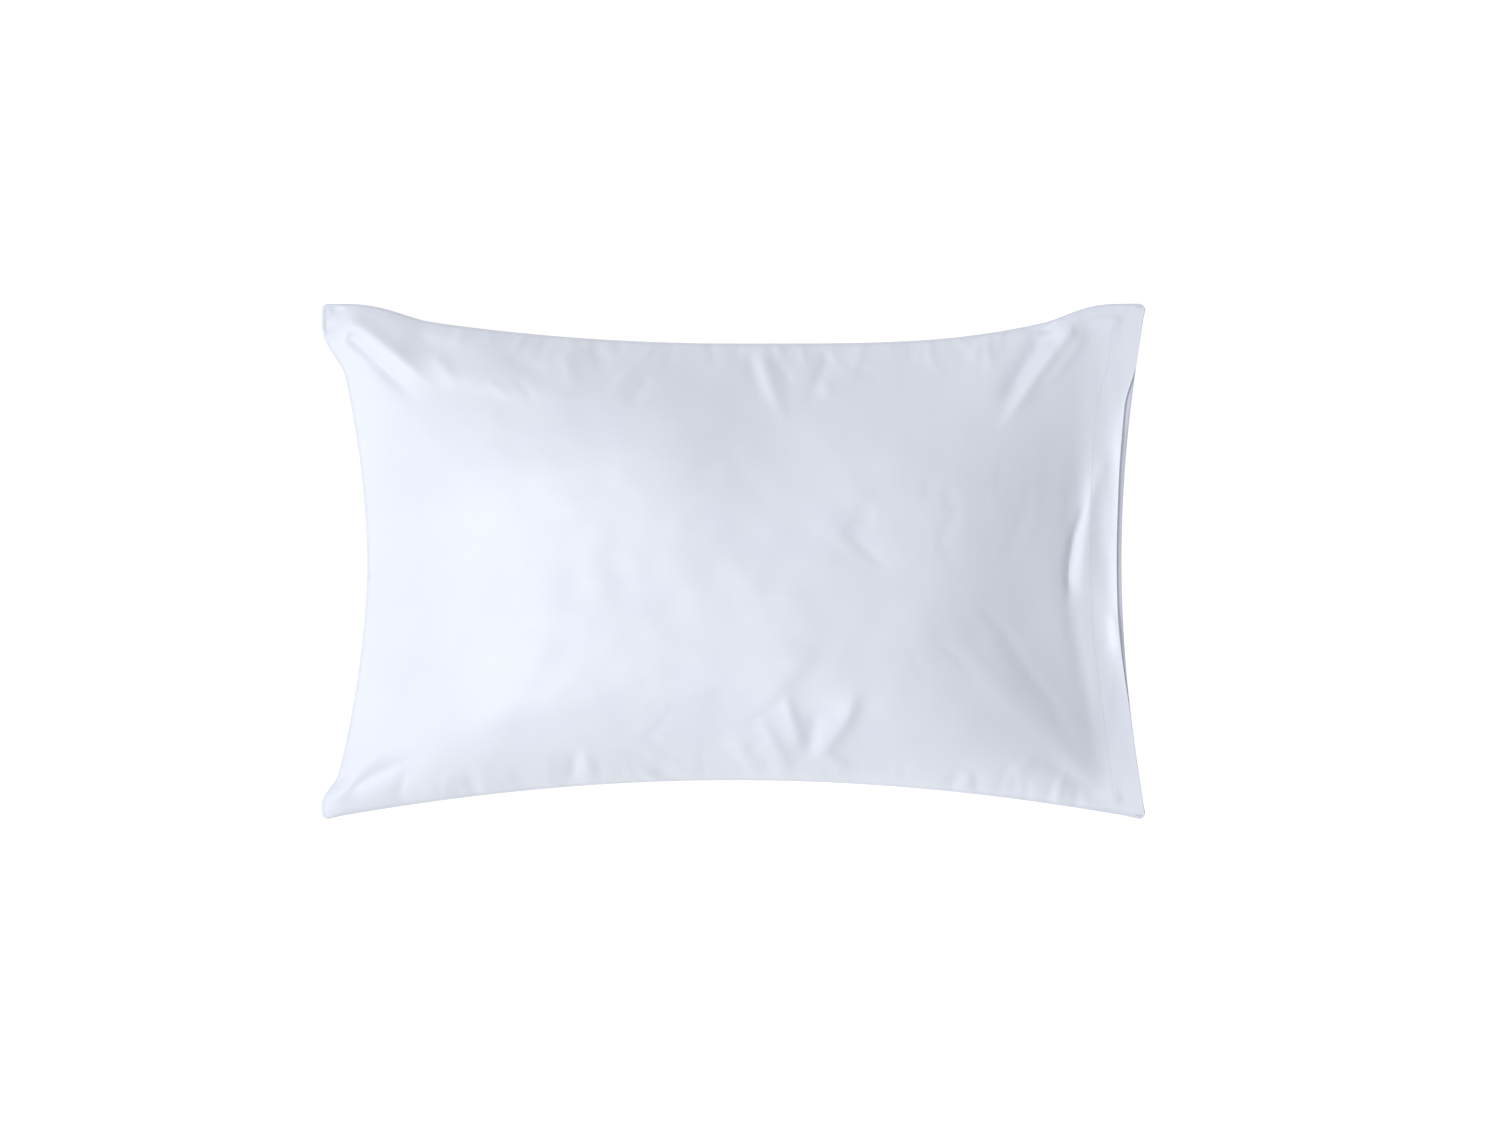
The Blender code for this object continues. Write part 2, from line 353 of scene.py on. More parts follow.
@dataclass(frozen=True)
class WovenCloth:
    """A woven cloth: its thread, its two tones and how it shines.

    Threads are drawn thread_mm apart along the cloth's own flat coordinates. The slub is the slow
    thick-and-thin change along each thread, and the tone is a broad unevenness of the bleach. Near the
    seams a darker colour is painted on as shade.
    """

    name: str
    tone: str
    shade: str
    # The darker colour painted as shade along the seams, where the cloth's edge turns under.
    seam_shade: str
    weave: Weave
    thread_mm: float
    roughness: float
    sheen: float
    relief_mm: float

    def material(self) -> bpy.types.Material:
        """Builds the cloth's node material.

        Returns:
            The material, which wants a Cloth UV map and a seam_distance attribute, by which it paints shade
            along the seams.
        """
        made, tree, shader = new_material(self.name)
        cloth = add_node(tree, "UVMap", uv_map="Cloth").outputs["UV"]
        threads, slub = self.threads(tree, cloth), self.slub(tree, cloth)
        broad = add_node(tree, "TexNoise", {"Vector": cloth, "Scale": 9.0, "Detail": 3.0, "Roughness": 0.45})
        tone = ramp_between(tree, broad.outputs["Fac"], 0.3, 0.7)
        body = colour_mix(tree, tone, linear(self.shade), linear(self.tone))
        fine = add_node(tree, "Math", {0: threads, 1: 0.05}, operation="MULTIPLY").outputs[0]
        body = colour_mix(tree, fine, body, linear(self.shade))
        # Painted shade: within 5.5 mm of a seam the colour darkens, where the cloth's edge turns under.
        edge = add_node(tree, "Attribute", attribute_name="seam_distance").outputs["Fac"]
        body = colour_mix(tree, ramp_between(tree, edge, 5.5 * MM, 0.5 * MM), body, linear(self.seam_shade))
        weave = bumped(tree, threads, self.relief_mm * MM, 0.35)
        uneven = bumped(tree, slub, 0.25 * MM, 0.3, weave)
        dress_shader(tree, shader, body, slub, (self.roughness - 0.05, self.roughness + 0.07), uneven)
        shader.inputs["Sheen Weight"].default_value = self.sheen
        shader.inputs["Sheen Roughness"].default_value = 0.45
        return made

    def threads(self, tree: Tree, cloth: Socket) -> Socket:
        """The threads: two crossing waves, the warp's stronger in a satin weave.

        Real sateen has a thread every 0.2 mm, which is too fine to show, so it is drawn coarser. A wave
        node repeats 20 times in each full turn of its scale.

        Args:
            tree: The material's node tree.
            cloth: The cloth's flat coordinates, in metres.

        Returns:
            The threads' tone, which is their height as well.
        """
        warp_share = {Weave.SATEEN: 0.75, Weave.PLAIN: 0.5, Weave.SATIN_RIBBON: 0.9}[self.weave]
        scale = math.tau / 20 / (self.thread_mm * MM)
        waves = []
        for direction in ("X", "Y"):
            links = {"Vector": cloth, "Scale": scale, "Distortion": 0.4}
            wave = add_node(tree, "TexWave", links, wave_type="BANDS", bands_direction=direction)
            waves.append(wave.outputs["Fac"])
        return add_node(tree, "Mix", {0: warp_share, 2: waves[0], 3: waves[1]}, data_type="FLOAT").outputs[0]

    def slub(self, tree: Tree, cloth: Socket) -> Socket:
        """Thick and thin places, drawn out along the weft.

        Args:
            tree: The material's node tree.
            cloth: The cloth's flat coordinates, in metres.

        Returns:
            The slub, 0..1.
        """
        placed = add_node(tree, "Mapping", {"Vector": cloth, "Scale": (60.0, 420.0, 1.0)})
        grain = {"Vector": placed.outputs["Vector"], "Scale": 1.0, "Detail": 4.0, "Roughness": 0.6}
        return add_node(tree, "TexNoise", grain).outputs["Fac"]


# Bleached cotton in a satin weave: long floats give it a soft shine, and the bleach's optical
# brightener makes it a cool blue-white.
SATEEN = WovenCloth(
    name="woven_cotton_sateen",
    tone="DFE2EC",
    shade="DADEE9",
    seam_shade="D2D6E2",
    weave=Weave.SATEEN,
    thread_mm=1.6,
    roughness=0.5,
    sheen=0.12,
    relief_mm=0.05,
)
# Unbleached-white cotton ticking: a close plain weave, dull and a little warm.
TICKING = WovenCloth(
    name="woven_cotton_ticking",
    tone="E4E1DA",
    shade="DAD6CC",
    seam_shade="CFCABF",
    weave=Weave.PLAIN,
    thread_mm=1.8,
    roughness=0.72,
    sheen=0.1,
    relief_mm=0.12,
)
# Bias-cut cotton tape round a cord.
PIPING = WovenCloth(
    name="bias_cotton_piping",
    tone="D8D4CA",
    shade="CDC8BC",
    seam_shade="C4BFB2",
    weave=Weave.PLAIN,
    thread_mm=1.4,
    roughness=0.68,
    sheen=0.1,
    relief_mm=0.12,
)
# Polyester satin ribbon, blank.
RIBBON = WovenCloth(
    name="polyester_satin_ribbon",
    tone="F0F0F0",
    shade="E6E6E8",
    seam_shade="E0E0E2",
    weave=Weave.SATIN_RIBBON,
    thread_mm=1.0,
    roughness=0.33,
    sheen=0.2,
    relief_mm=0.04,
)


@dataclass(frozen=True)
class TwistedThread:
    """Sewing thread: two plies twisted together, which gives it slanting bands."""

    name: str
    tone: str
    shade: str
    roughness: float = 0.45

    def material(self) -> bpy.types.Material:
        """Builds the thread's node material on its own length-and-round coordinates.

        Returns:
            The material, which wants a Cloth UV map.
        """
        made, tree, shader = new_material(self.name)
        along = add_node(tree, "UVMap", uv_map="Cloth").outputs["UV"]
        wave = add_node(tree, "TexWave", {"Vector": along, "Scale": 90.0}, bands_direction="DIAGONAL")
        plies = wave.outputs["Fac"]
        body = colour_mix(tree, plies, linear(self.shade), linear(self.tone))
        fuzz = add_node(tree, "TexNoise", {"Vector": along, "Scale": 700.0}).outputs["Fac"]
        twist = bumped(tree, plies, 0.06 * MM, 0.6)
        dress_shader(tree, shader, body, fuzz, (self.roughness, self.roughness + 0.2), twist)
        shader.inputs["Sheen Weight"].default_value = 0.1
        return made


# Spun polyester sewing thread, dyed to the sateen.
SEWING_THREAD = TwistedThread("spun_polyester_thread", "E2E5EE", "C9CDD8")
# Heavier unbleached thread of the ticking's closing seam.
TICKING_THREAD = TwistedThread("cotton_ticking_thread", "DEDACF", "BFB9AA")


@dataclass(frozen=True)
class FibreBatt:
    """Carded polyester fibre: a matted white fleece with fine strands across each other."""

    name: str = "carded_polyester_fibre"
    tone: str = "F2F2F0"
    shade: str = "DCDCD8"

    def material(self) -> bpy.types.Material:
        """Builds the fleece's node material on object coordinates.

        Returns:
            The material.
        """
        made, tree, shader = new_material(self.name)
        place = add_node(tree, "TexCoord").outputs["Object"]
        matted = {"Vector": place, "Scale": 180.0, "Detail": 8.0, "Distortion": 2.0}
        strands = add_node(tree, "TexNoise", matted).outputs["Fac"]
        body = colour_mix(tree, strands, linear(self.shade), linear(self.tone))
        dress_shader(tree, shader, body, strands, (0.8, 1.0), bumped(tree, strands, 1.5 * MM, 0.8))
        shader.inputs["Sheen Weight"].default_value = 0.3
        return made


Finish = WovenCloth | TwistedThread | FibreBatt


# ---------------------------------------------------------------------------------------------
# Meshes from grids
# ---------------------------------------------------------------------------------------------


def cell_corners(index: np.ndarray) -> np.ndarray:
    """The four corners of each cell of a grid of vertex numbers, rows along +X and columns along +Y."""
    corners = (index[:-1, :-1], index[1:, :-1], index[1:, 1:], index[:-1, 1:])
    return np.stack(corners, axis=-1).reshape(-1, 4)


def grid_quads(rows: int, columns: int) -> np.ndarray:
    """The faces of a grid whose vertices are numbered row by row, counter-clockwise seen from +Z."""
    return cell_corners(np.arange(rows * columns).reshape(rows, columns))


@dataclass
class ClosedShell:
    """Two grids of points joined along their rim, which is the upper one's.

    The vertices are the upper grid's, row by row, and then the lower grid's inner ones.
    """

    shape: tuple[int, int]
    inside: np.ndarray = field(init=False)
    upper: np.ndarray = field(init=False)
    lower: np.ndarray = field(init=False)

    def __post_init__(self) -> None:
        """Numbers the vertices of both grids."""
        count = math.prod(self.shape)
        self.inside = np.zeros(self.shape, bool)
        self.inside[1:-1, 1:-1] = True
        self.upper = np.arange(count).reshape(self.shape)
        self.lower = self.upper.copy()
        self.lower[self.inside] = count + np.arange(self.inside.sum())

    def points(self, upper: np.ndarray, lower: np.ndarray) -> np.ndarray:
        """The vertices of an upper and a lower grid of points."""
        return np.concatenate([upper.reshape(-1, 3), lower[self.inside]])

    def faces(self) -> np.ndarray:
        """The faces of both sides, turned outwards."""
        quads = grid_quads(*self.shape)
        return np.concatenate([self.upper.ravel()[quads], self.lower.ravel()[quads][:, ::-1]])


def rim_loop(rows: int, columns: int) -> np.ndarray:
    """The grid's rim corners in counter-clockwise order."""
    index = np.arange(rows * columns).reshape(rows, columns)
    return np.concatenate([index[:-1, 0], index[-1, :-1], index[:0:-1, -1], index[0, :0:-1]])


def mesh_object(
    name: str,
    points: np.ndarray,
    faces: np.ndarray,
    cloth: np.ndarray,
    edge: np.ndarray,
    crease: float = 60.0,
) -> bpy.types.Object:
    """Makes an object from whole arrays, with its flat cloth coordinates and distance from the seam.

    Args:
        name: The piece's name.
        points: One row of x, y, z per vertex.
        faces: One row of four vertex numbers per face.
        cloth: One row of flat coordinates, in metres, per vertex.
        edge: Each vertex's distance from the nearest seam, in metres.
        crease: The angle in degrees past which an edge is drawn sharp.

    Returns:
        The new object, linked to the scene.
    """
    mesh = bpy.data.meshes.new(name)
    mesh.from_pydata(points.tolist(), [], faces.tolist())
    corners = np.empty(len(mesh.loops), np.int32)
    mesh.loops.foreach_get("vertex_index", corners)
    layer = mesh.uv_layers.new(name="Cloth")
    layer.data.foreach_set("uv", cloth[corners].astype(np.float32).ravel())
    attribute = mesh.attributes.new("seam_distance", "FLOAT", "POINT")
    attribute.data.foreach_set("value", edge.astype(np.float32).ravel())
    mesh.shade_smooth()
    mesh.set_sharp_from_angle(angle=math.radians(crease))
    mesh.validate()
    made = bpy.data.objects.new(name, mesh)
    bpy.context.scene.collection.objects.link(made)
    return made


def cloth_slab(
    name: str, outer: np.ndarray, thickness: float, facing: int, cloth: Grids, edge: np.ndarray
) -> bpy.types.Object:
    """A closed sheet of cloth: a grid, the same grid moved inwards by its thickness, and a rim.

    Args:
        name: The piece's name.
        outer: The grid of points of the face that shows.
        thickness: The cloth's thickness.
        facing: 1 where the grid's normals point outwards, -1 where they point inwards.
        cloth: The grid's two flat coordinates.
        edge: The grid's distances from the seam.

    Returns:
        The new object.
    """
    rows, columns = outer.shape[:2]
    inner = outer - surface_normals(outer) * thickness * facing
    count = rows * columns
    shown = grid_quads(rows, columns)
    hidden = shown[:, ::-1] + count
    loop = rim_loop(rows, columns)
    after = np.roll(loop, -1)
    rim = np.stack([loop, loop + count, after + count, after], axis=-1)
    faces = np.concatenate([shown, hidden, rim])
    if facing < 0:
        faces = faces[:, ::-1]
    points = np.concatenate([outer.reshape(-1, 3), inner.reshape(-1, 3)])
    flat = np.concatenate([np.stack(cloth, axis=-1).reshape(-1, 2)] * 2)
    inset = np.concatenate([edge.ravel()] * 2)
    return mesh_object(name, points, faces, flat, inset)


def spokes(across: np.ndarray, upward: np.ndarray, turn: np.ndarray) -> np.ndarray:
    """Unit circles spanned by two directions: across * cos(turn) + upward * sin(turn), row by row."""
    return across[:, None] * np.cos(turn)[None, :, None] + upward[:, None] * np.sin(turn)[None, :, None]


def ring_tube(name: str, path: np.ndarray, radius: float, sides: int) -> bpy.types.Object:
    """A round cord along a closed path: circles of the given radius square to it, joined into a ring.

    Args:
        name: The piece's name.
        path: The points of its middle line, once round.
        radius: Its radius.
        sides: How many points each circle has.

    Returns:
        The new object.
    """
    ahead = unit(np.roll(path, -1, axis=0) - np.roll(path, 1, axis=0))
    across = unit(np.cross(ahead, [0.0, 0.0, 1.0]))
    turn = np.linspace(0, 2 * np.pi, sides, endpoint=False)
    points = path[:, None] + radius * spokes(across, np.cross(across, ahead), turn)
    index = np.arange(len(path) * sides).reshape(-1, sides)
    index = np.concatenate([index, index[:1]])
    faces = cell_corners(np.concatenate([index, index[:, :1]], axis=1))
    length = np.concatenate([[0.0], np.cumsum(np.linalg.norm(np.diff(path, axis=0), axis=1))])
    cloth = np.stack(np.broadcast_arrays(length[:, None], turn[None] * radius), axis=-1).reshape(-1, 2)
    return mesh_object(name, points.reshape(-1, 3), faces, cloth, np.full(len(cloth), FAR_FROM_SEAM))


def stitch_row(
    name: str, starts: np.ndarray, ends: np.ndarray, lift: np.ndarray, radius: float
) -> bpy.types.Object:
    """Separate stitches, each a thread bowed up between the two holes it goes through.

    A stitch is a tube of six sides whose middle line is a parabola from start to end, raised along
    lift, and whose radius falls to nearly nothing at both ends.

    Args:
        name: The piece's name.
        starts: Where each stitch comes up.
        ends: Where it goes down.
        lift: The direction and height of its bow, one row per stitch.
        radius: The thread's radius.

    Returns:
        The new object, all stitches in one mesh.
    """
    sections, sides = 7, 6
    share = np.linspace(0, 1, sections)
    along = share[None, :, None]
    middle = starts[:, None] + (ends - starts)[:, None] * along + lift[:, None] * (4 * along * (1 - along))
    upward = unit(lift)
    turn = np.linspace(0, 2 * np.pi, sides, endpoint=False)
    girth = radius * np.maximum(np.sin(np.pi * share), 0.15)
    spoke = spokes(np.cross(unit(ends - starts), upward), upward, turn)
    points = middle[:, :, None] + girth[None, :, None, None] * spoke[:, None]
    index = np.arange(sections * sides).reshape(sections, sides)
    side = cell_corners(np.concatenate([index, index[:, :1]], axis=1))
    first, last = index[0], index[-1]
    caps = [first[[0, 1, 2, 3]], first[[0, 3, 4, 5]], last[[0, 5, 4, 3]], last[[0, 3, 2, 1]]]
    one = np.concatenate([side, np.array(caps)])
    faces = (one[None] + (np.arange(len(starts)) * sections * sides)[:, None, None]).reshape(-1, 4)
    length = along * np.linalg.norm(ends - starts, axis=1)[:, None, None]
    cloth = np.stack(np.broadcast_arrays(length, (turn * radius)[None, None, :]), axis=-1).reshape(-1, 2)
    return mesh_object(name, points.reshape(-1, 3), faces, cloth, np.full(len(cloth), FAR_FROM_SEAM))


# ---------------------------------------------------------------------------------------------
# The filled case's form
# ---------------------------------------------------------------------------------------------


@dataclass(frozen=True)
class HalfSide:
    """How a side's pull fades from its middle to one corner.

    The pull is (1 - p^power)^fade at a share p of the way, and nothing over the ear at the corner.
    """

    power: float
    fade: float
    ear: float
    ear_bend: float

    def share(self, place: np.ndarray) -> np.ndarray:
        """The share of the full pull at places from 0, the side's middle, to 1, its corner."""
        curve = np.clip(1 - np.clip(place, 0, 1) ** self.power, 0, 1) ** self.fade
        return curve * smoothstep((1 - place - self.ear) / self.ear_bend)


@dataclass(frozen=True)
class PulledSide:
    """A side that the filling pulls in between its corners, its two halves not alike."""

    depth: float
    low: HalfSide
    high: HalfSide

    def pull(self, place: np.ndarray) -> np.ndarray:
        """How far in the side is, at places from -1 to 1 along it."""
        near = np.where(place < 0, self.low.share(-place), self.high.share(place))
        return self.depth * near


@dataclass(frozen=True)
class Fold:
    """A fold in the cloth: a ridge, or a valley where its height is below zero.

    It follows a parabola from start towards bend to end, in millimetres on the plan. Its height
    is full in its middle and fades towards its ends, and falls off sideways as e^-(d / width)^sharp.
    Where lean isn't 0, its two sides have different widths. Past a few widths nothing is left of it.
    """

    start: tuple[float, float]
    bend: tuple[float, float]
    end: tuple[float, float]
    width: float
    height: float
    sharp: float = 1.7
    lean: float = 0.0
    fades: tuple[float, float] = (0.35, 0.35)

    def relief(self, x: np.ndarray, y: np.ndarray) -> np.ndarray:
        """The fold's height at each point of the plan.

        Args:
            x: Places along the plan, in metres.
            y: Places across it.

        Returns:
            The heights, in metres.
        """
        spots, faded = 28, 3.2
        u = np.linspace(0, 1, spots)[:, None]
        a, b, c = (np.array(p) * MM for p in (self.start, self.bend, self.end))
        line = (1 - u) ** 2 * a + 2 * u * (1 - u) * b + u**2 * c
        reach = faded * self.width * (1 + abs(self.lean)) * MM
        result = np.zeros_like(x)
        low, high = line.min(axis=0) - reach, line.max(axis=0) + reach
        near = (x > low[0]) & (x < high[0]) & (y > low[1]) & (y < high[1])
        if not near.any():
            return result
        spot = np.stack([x[near], y[near]], axis=-1)[:, None]
        step = line[1:] - line[:-1]
        share = np.clip(((spot - line[:-1]) * step).sum(-1) / (step**2).sum(-1), 0, 1)
        gap = spot - (line[:-1] + share[..., None] * step)
        distance = np.linalg.norm(gap, axis=-1)
        best = distance.argmin(axis=1)
        rows = np.arange(len(best))
        side = np.sign(step[best, 0] * gap[rows, best, 1] - step[best, 1] * gap[rows, best, 0])
        place = (best + share[rows, best]) / (spots - 1)
        width = self.width * MM * (1 + self.lean * side)
        body = np.exp(-((distance[rows, best] / width) ** self.sharp))
        ends = smoothstep(place / self.fades[0]) * smoothstep((1 - place) / self.fades[1])
        result[near] = self.height * MM * body * ends
        return result


@dataclass
class CaseForm:
    """The filled pillowcase's outer form, as functions of the flat coordinates s and t."""

    half_length: float
    half_width: float
    seam_height: float
    crown: float
    belly: float
    corner_radius: float = 6 * MM
    edge_roll: float = 1.4 * MM
    filled_share: float = 0.925
    shelf_height: float = 15 * MM
    fold_rise: float = 9.6 * MM
    top: PulledSide = PulledSide(35 * MM, HalfSide(2.0, 1.0, 0.05, 0.22), HalfSide(4.0, 1.9, 0.05, 0.2))
    bottom: PulledSide = PulledSide(34 * MM, HalfSide(2.0, 1.05, 0.0, 0.05), HalfSide(2.0, 1.05, 0.0, 0.05))
    end: PulledSide = PulledSide(40 * MM, HalfSide(1.7, 0.8, 0.05, 0.12), HalfSide(1.7, 0.8, 0.08, 0.2))
    mouth: PulledSide = PulledSide(22 * MM, HalfSide(2.0, 1.15, 0.0, 0.06), HalfSide(2.0, 1.15, 0.0, 0.06))

    def plan(self, s: np.ndarray, t: np.ndarray) -> Grids:
        """Where flat cloth coordinates lie on the plan, with pulled-in sides and round corners.

        Args:
            s: Flat coordinates along the case.
            t: Flat coordinates across it.

        Returns:
            x and y.
        """
        s, t = round_corners(s, t, self.half_length, self.half_width, self.corner_radius)
        a, b = s / self.half_length, t / self.half_width
        along = np.where(s < 0, self.end.pull(b), self.mouth.pull(b))
        across = np.where(t < 0, self.bottom.pull(a), self.top.pull(a))
        return s * (1 - along / self.half_length), t * (1 - across / self.half_width)

    def inset(self, s: np.ndarray, t: np.ndarray) -> np.ndarray:
        """The distance from the nearest of the three sewn sides."""
        sides = self.half_width - np.abs(t)
        return np.minimum(sides, self.half_length + s)

    def swell(self, s: np.ndarray, t: np.ndarray) -> np.ndarray:
        """The front's swelling, 1 at the middle and 0 at the seams: the product of one curve per axis.

        Each curve is (1 - p^power)^fullness. Towards the mouth it ends early, where the pillow ends. Right
        of the middle the crest lies lower and the upper side falls away more evenly.

        Args:
            s: Flat coordinates along the case.
            t: Flat coordinates across it.

        Returns:
            The swelling, 0..1.
        """
        a, b = s / self.half_length, t / self.half_width
        crest = 0.13 * smoothstep((a + 0.3) / 0.5)
        up = eased_share((b + crest) / (1 + crest), 0.14)
        down = np.clip((-b - crest) / (1 - crest), 0, 1)
        rightward, upward = smoothstep((a + 0.25) / 0.4), smoothstep((b + 0.1) / 0.5)
        downward = smoothstep(-b / 0.8)
        upper = (1 - up ** (2.6 - 1.1 * rightward)) ** 0.82
        lower = (1 - down**5.0) ** 0.78
        left = (1 - np.clip(-a, 0, 1) ** 2.75) ** 0.8
        power = 2.1 + 1.0 * upward + 0.9 * downward
        fullness = 1.35 - 0.1 * upward - 0.1 * downward
        right = (1 - eased_share(a / self.filled_share, 0.2) ** power) ** fullness
        return left * right * lower * upper

    def band(self, s: np.ndarray, t: np.ndarray) -> np.ndarray:
        """The low shelf along the mouth, where the doubled hem and flap lie past the pillow's end.

        Args:
            s: Flat coordinates along the case.
            t: Flat coordinates across it.

        Returns:
            The shelf's height.
        """
        a, b = s / self.half_length, t / self.half_width
        shelf = smoothstep((a - 0.55) / 0.25) * (1 - 0.55 * smoothstep((a - 0.8) / 0.2))
        return self.shelf_height * shelf * (1 - np.clip(np.abs(b), 0, 1) ** 4)

    def front_height(self, s: np.ndarray, t: np.ndarray) -> np.ndarray:
        """The front panel's height above the seam plane: the edge's roll, then the crown or the shelf.

        The two join as the cube root of the sum of their cubes.
        """
        crown = (self.crown - self.edge_roll) * self.swell(s, t)
        return self.roll(self.inset(s, t)) + (crown**3 + self.band(s, t) ** 3) ** (1 / 3)

    def back_height(self, s: np.ndarray, t: np.ndarray) -> np.ndarray:
        """The back panel's height below the seam plane, before it is laid on the surface.

        Args:
            s: Flat coordinates along the case.
            t: Flat coordinates across it.

        Returns:
            The height, below zero where it hangs under the seam plane.
        """
        a, b = s / self.half_length, t / self.half_width
        swell = ((1 - np.clip(np.abs(a), 0, 1) ** 2.6) * (1 - np.clip(np.abs(b), 0, 1) ** 2.6)) ** 0.72
        mouth = self.half_length - s
        rise = self.mouth_rise(t) * smoothstep(1 - mouth / (70 * MM))
        return rise - self.roll(np.minimum(self.inset(s, t), mouth)) - self.belly * swell

    def mouth_rise(self, t: np.ndarray) -> np.ndarray:
        """How far the middle of the mouth's fold is drawn up above the seam plane."""
        return self.fold_rise * (1 - np.clip(np.abs(t / self.half_width + 0.05), 0, 1) ** 2.5) ** 2

    def roll(self, inset: np.ndarray) -> np.ndarray:
        """A quarter circle up from the seam, then a shallow groove where the allowance ends.

        Args:
            inset: Distances from the seam.

        Returns:
            The height of the edge.
        """
        r = self.edge_roll
        turn = np.sqrt(np.clip(r**2 - (r - np.clip(inset, 0, r)) ** 2, 0, None))
        groove = 0.45 * MM * np.exp(-(((inset - 4.4 * MM) / (1.3 * MM)) ** 2))
        return 0.2 * MM + turn - groove


@dataclass
class ClothRun:
    """A run of Blender's cloth over the whole case: pinned at its seams and pressed out by the fill.

    The case starts from its measured form. Its rest size is the flat case, a little longer than
    the form's own surface, so the spare cloth settles into soft folds.
    """

    form: CaseForm
    columns: int = 110
    rows: int = 72
    steps: int = 34
    flat_length: float = 740 * MM
    flat_width: float = 480 * MM
    spare: float = 1.03
    seed: int = 11

    def relief(self) -> Grids:
        """How far each point of the front and of the back moved.

        Returns:
            Two grids of vectors, even over the case's length and width.
        """
        a, b = np.meshgrid(np.linspace(-1, 1, self.columns), np.linspace(-1, 1, self.rows), indexing="ij")
        s, t = a * self.form.half_length, b * self.form.half_width
        x, y = self.form.plan(s, t)
        waver = 0.5 * MM * smooth_noise(a.shape, self.seed, 14)
        shell = ClosedShell(a.shape)
        front = np.stack([x, y, np.where(shell.inside, self.form.front_height(s, t) + waver, 0)], axis=-1)
        back = np.stack([x, y, np.where(shell.inside, self.form.back_height(s, t) - waver, 0)], axis=-1)
        flat = np.stack([a * self.flat_length / 2, b * self.flat_width / 2, 0 * a], axis=-1) * self.spare
        moved = self.press(shell, shell.points(front, back), shell.points(flat, flat))
        front_relief, back_relief = moved[shell.upper] - front, moved[shell.lower] - back
        LOG.info("the cloth moved up to %.1f mm", np.abs(front_relief).max() / MM)
        for grid, seed in ((front_relief, 3), (back_relief, 4)):
            grid[..., 2] += 0.28 * MM * smooth_noise(a.shape, seed, 4)
        return front_relief, back_relief

    def press(self, shell: ClosedShell, points: np.ndarray, rest: np.ndarray) -> np.ndarray:
        """Runs the simulation.

        Args:
            shell: How the front and the back join along the seams.
            points: Where the cloth starts.
            rest: The same vertices on the flat case.

        Returns:
            Where the vertices end.
        """
        mesh = bpy.data.meshes.new("cloth_run")
        mesh.from_pydata(points.tolist(), [], shell.faces().tolist())
        body = bpy.data.objects.new("cloth_run", mesh)
        bpy.context.scene.collection.objects.link(body)
        body.shape_key_add(name="filled")
        key = body.shape_key_add(name="flat")
        key.data.foreach_set("co", rest.astype(np.float32).ravel())
        body.vertex_groups.new(name="seam").add(shell.upper[~shell.inside].tolist(), 1.0, "REPLACE")
        cloth = body.modifiers.new("cloth", "CLOTH")
        sateen = cloth.settings
        sateen.quality = 6
        sateen.mass = 0.15
        sateen.tension_stiffness = sateen.compression_stiffness = 60
        sateen.shear_stiffness = 20
        sateen.bending_stiffness = 0.01
        sateen.tension_damping = sateen.compression_damping = sateen.shear_damping = 3
        sateen.use_pressure = True
        sateen.uniform_pressure_force = 3.0
        sateen.rest_shape_key = key
        sateen.vertex_group_mass = "seam"
        sateen.effector_weights.gravity = 0
        cloth.collision_settings.use_collision = False
        cloth.point_cache.frame_start = 1
        cloth.point_cache.frame_end = self.steps + 1
        for step in range(1, self.steps + 1):
            bpy.context.scene.frame_set(step)
        evaluated = body.evaluated_get(bpy.context.evaluated_depsgraph_get())
        moved = np.empty(len(evaluated.data.vertices) * 3, np.float32)
        evaluated.data.vertices.foreach_get("co", moved)
        bpy.data.objects.remove(body, do_unlink=True)
        bpy.data.meshes.remove(mesh)
        bpy.context.scene.frame_set(1)
        return moved.reshape(-1, 3).astype(float)


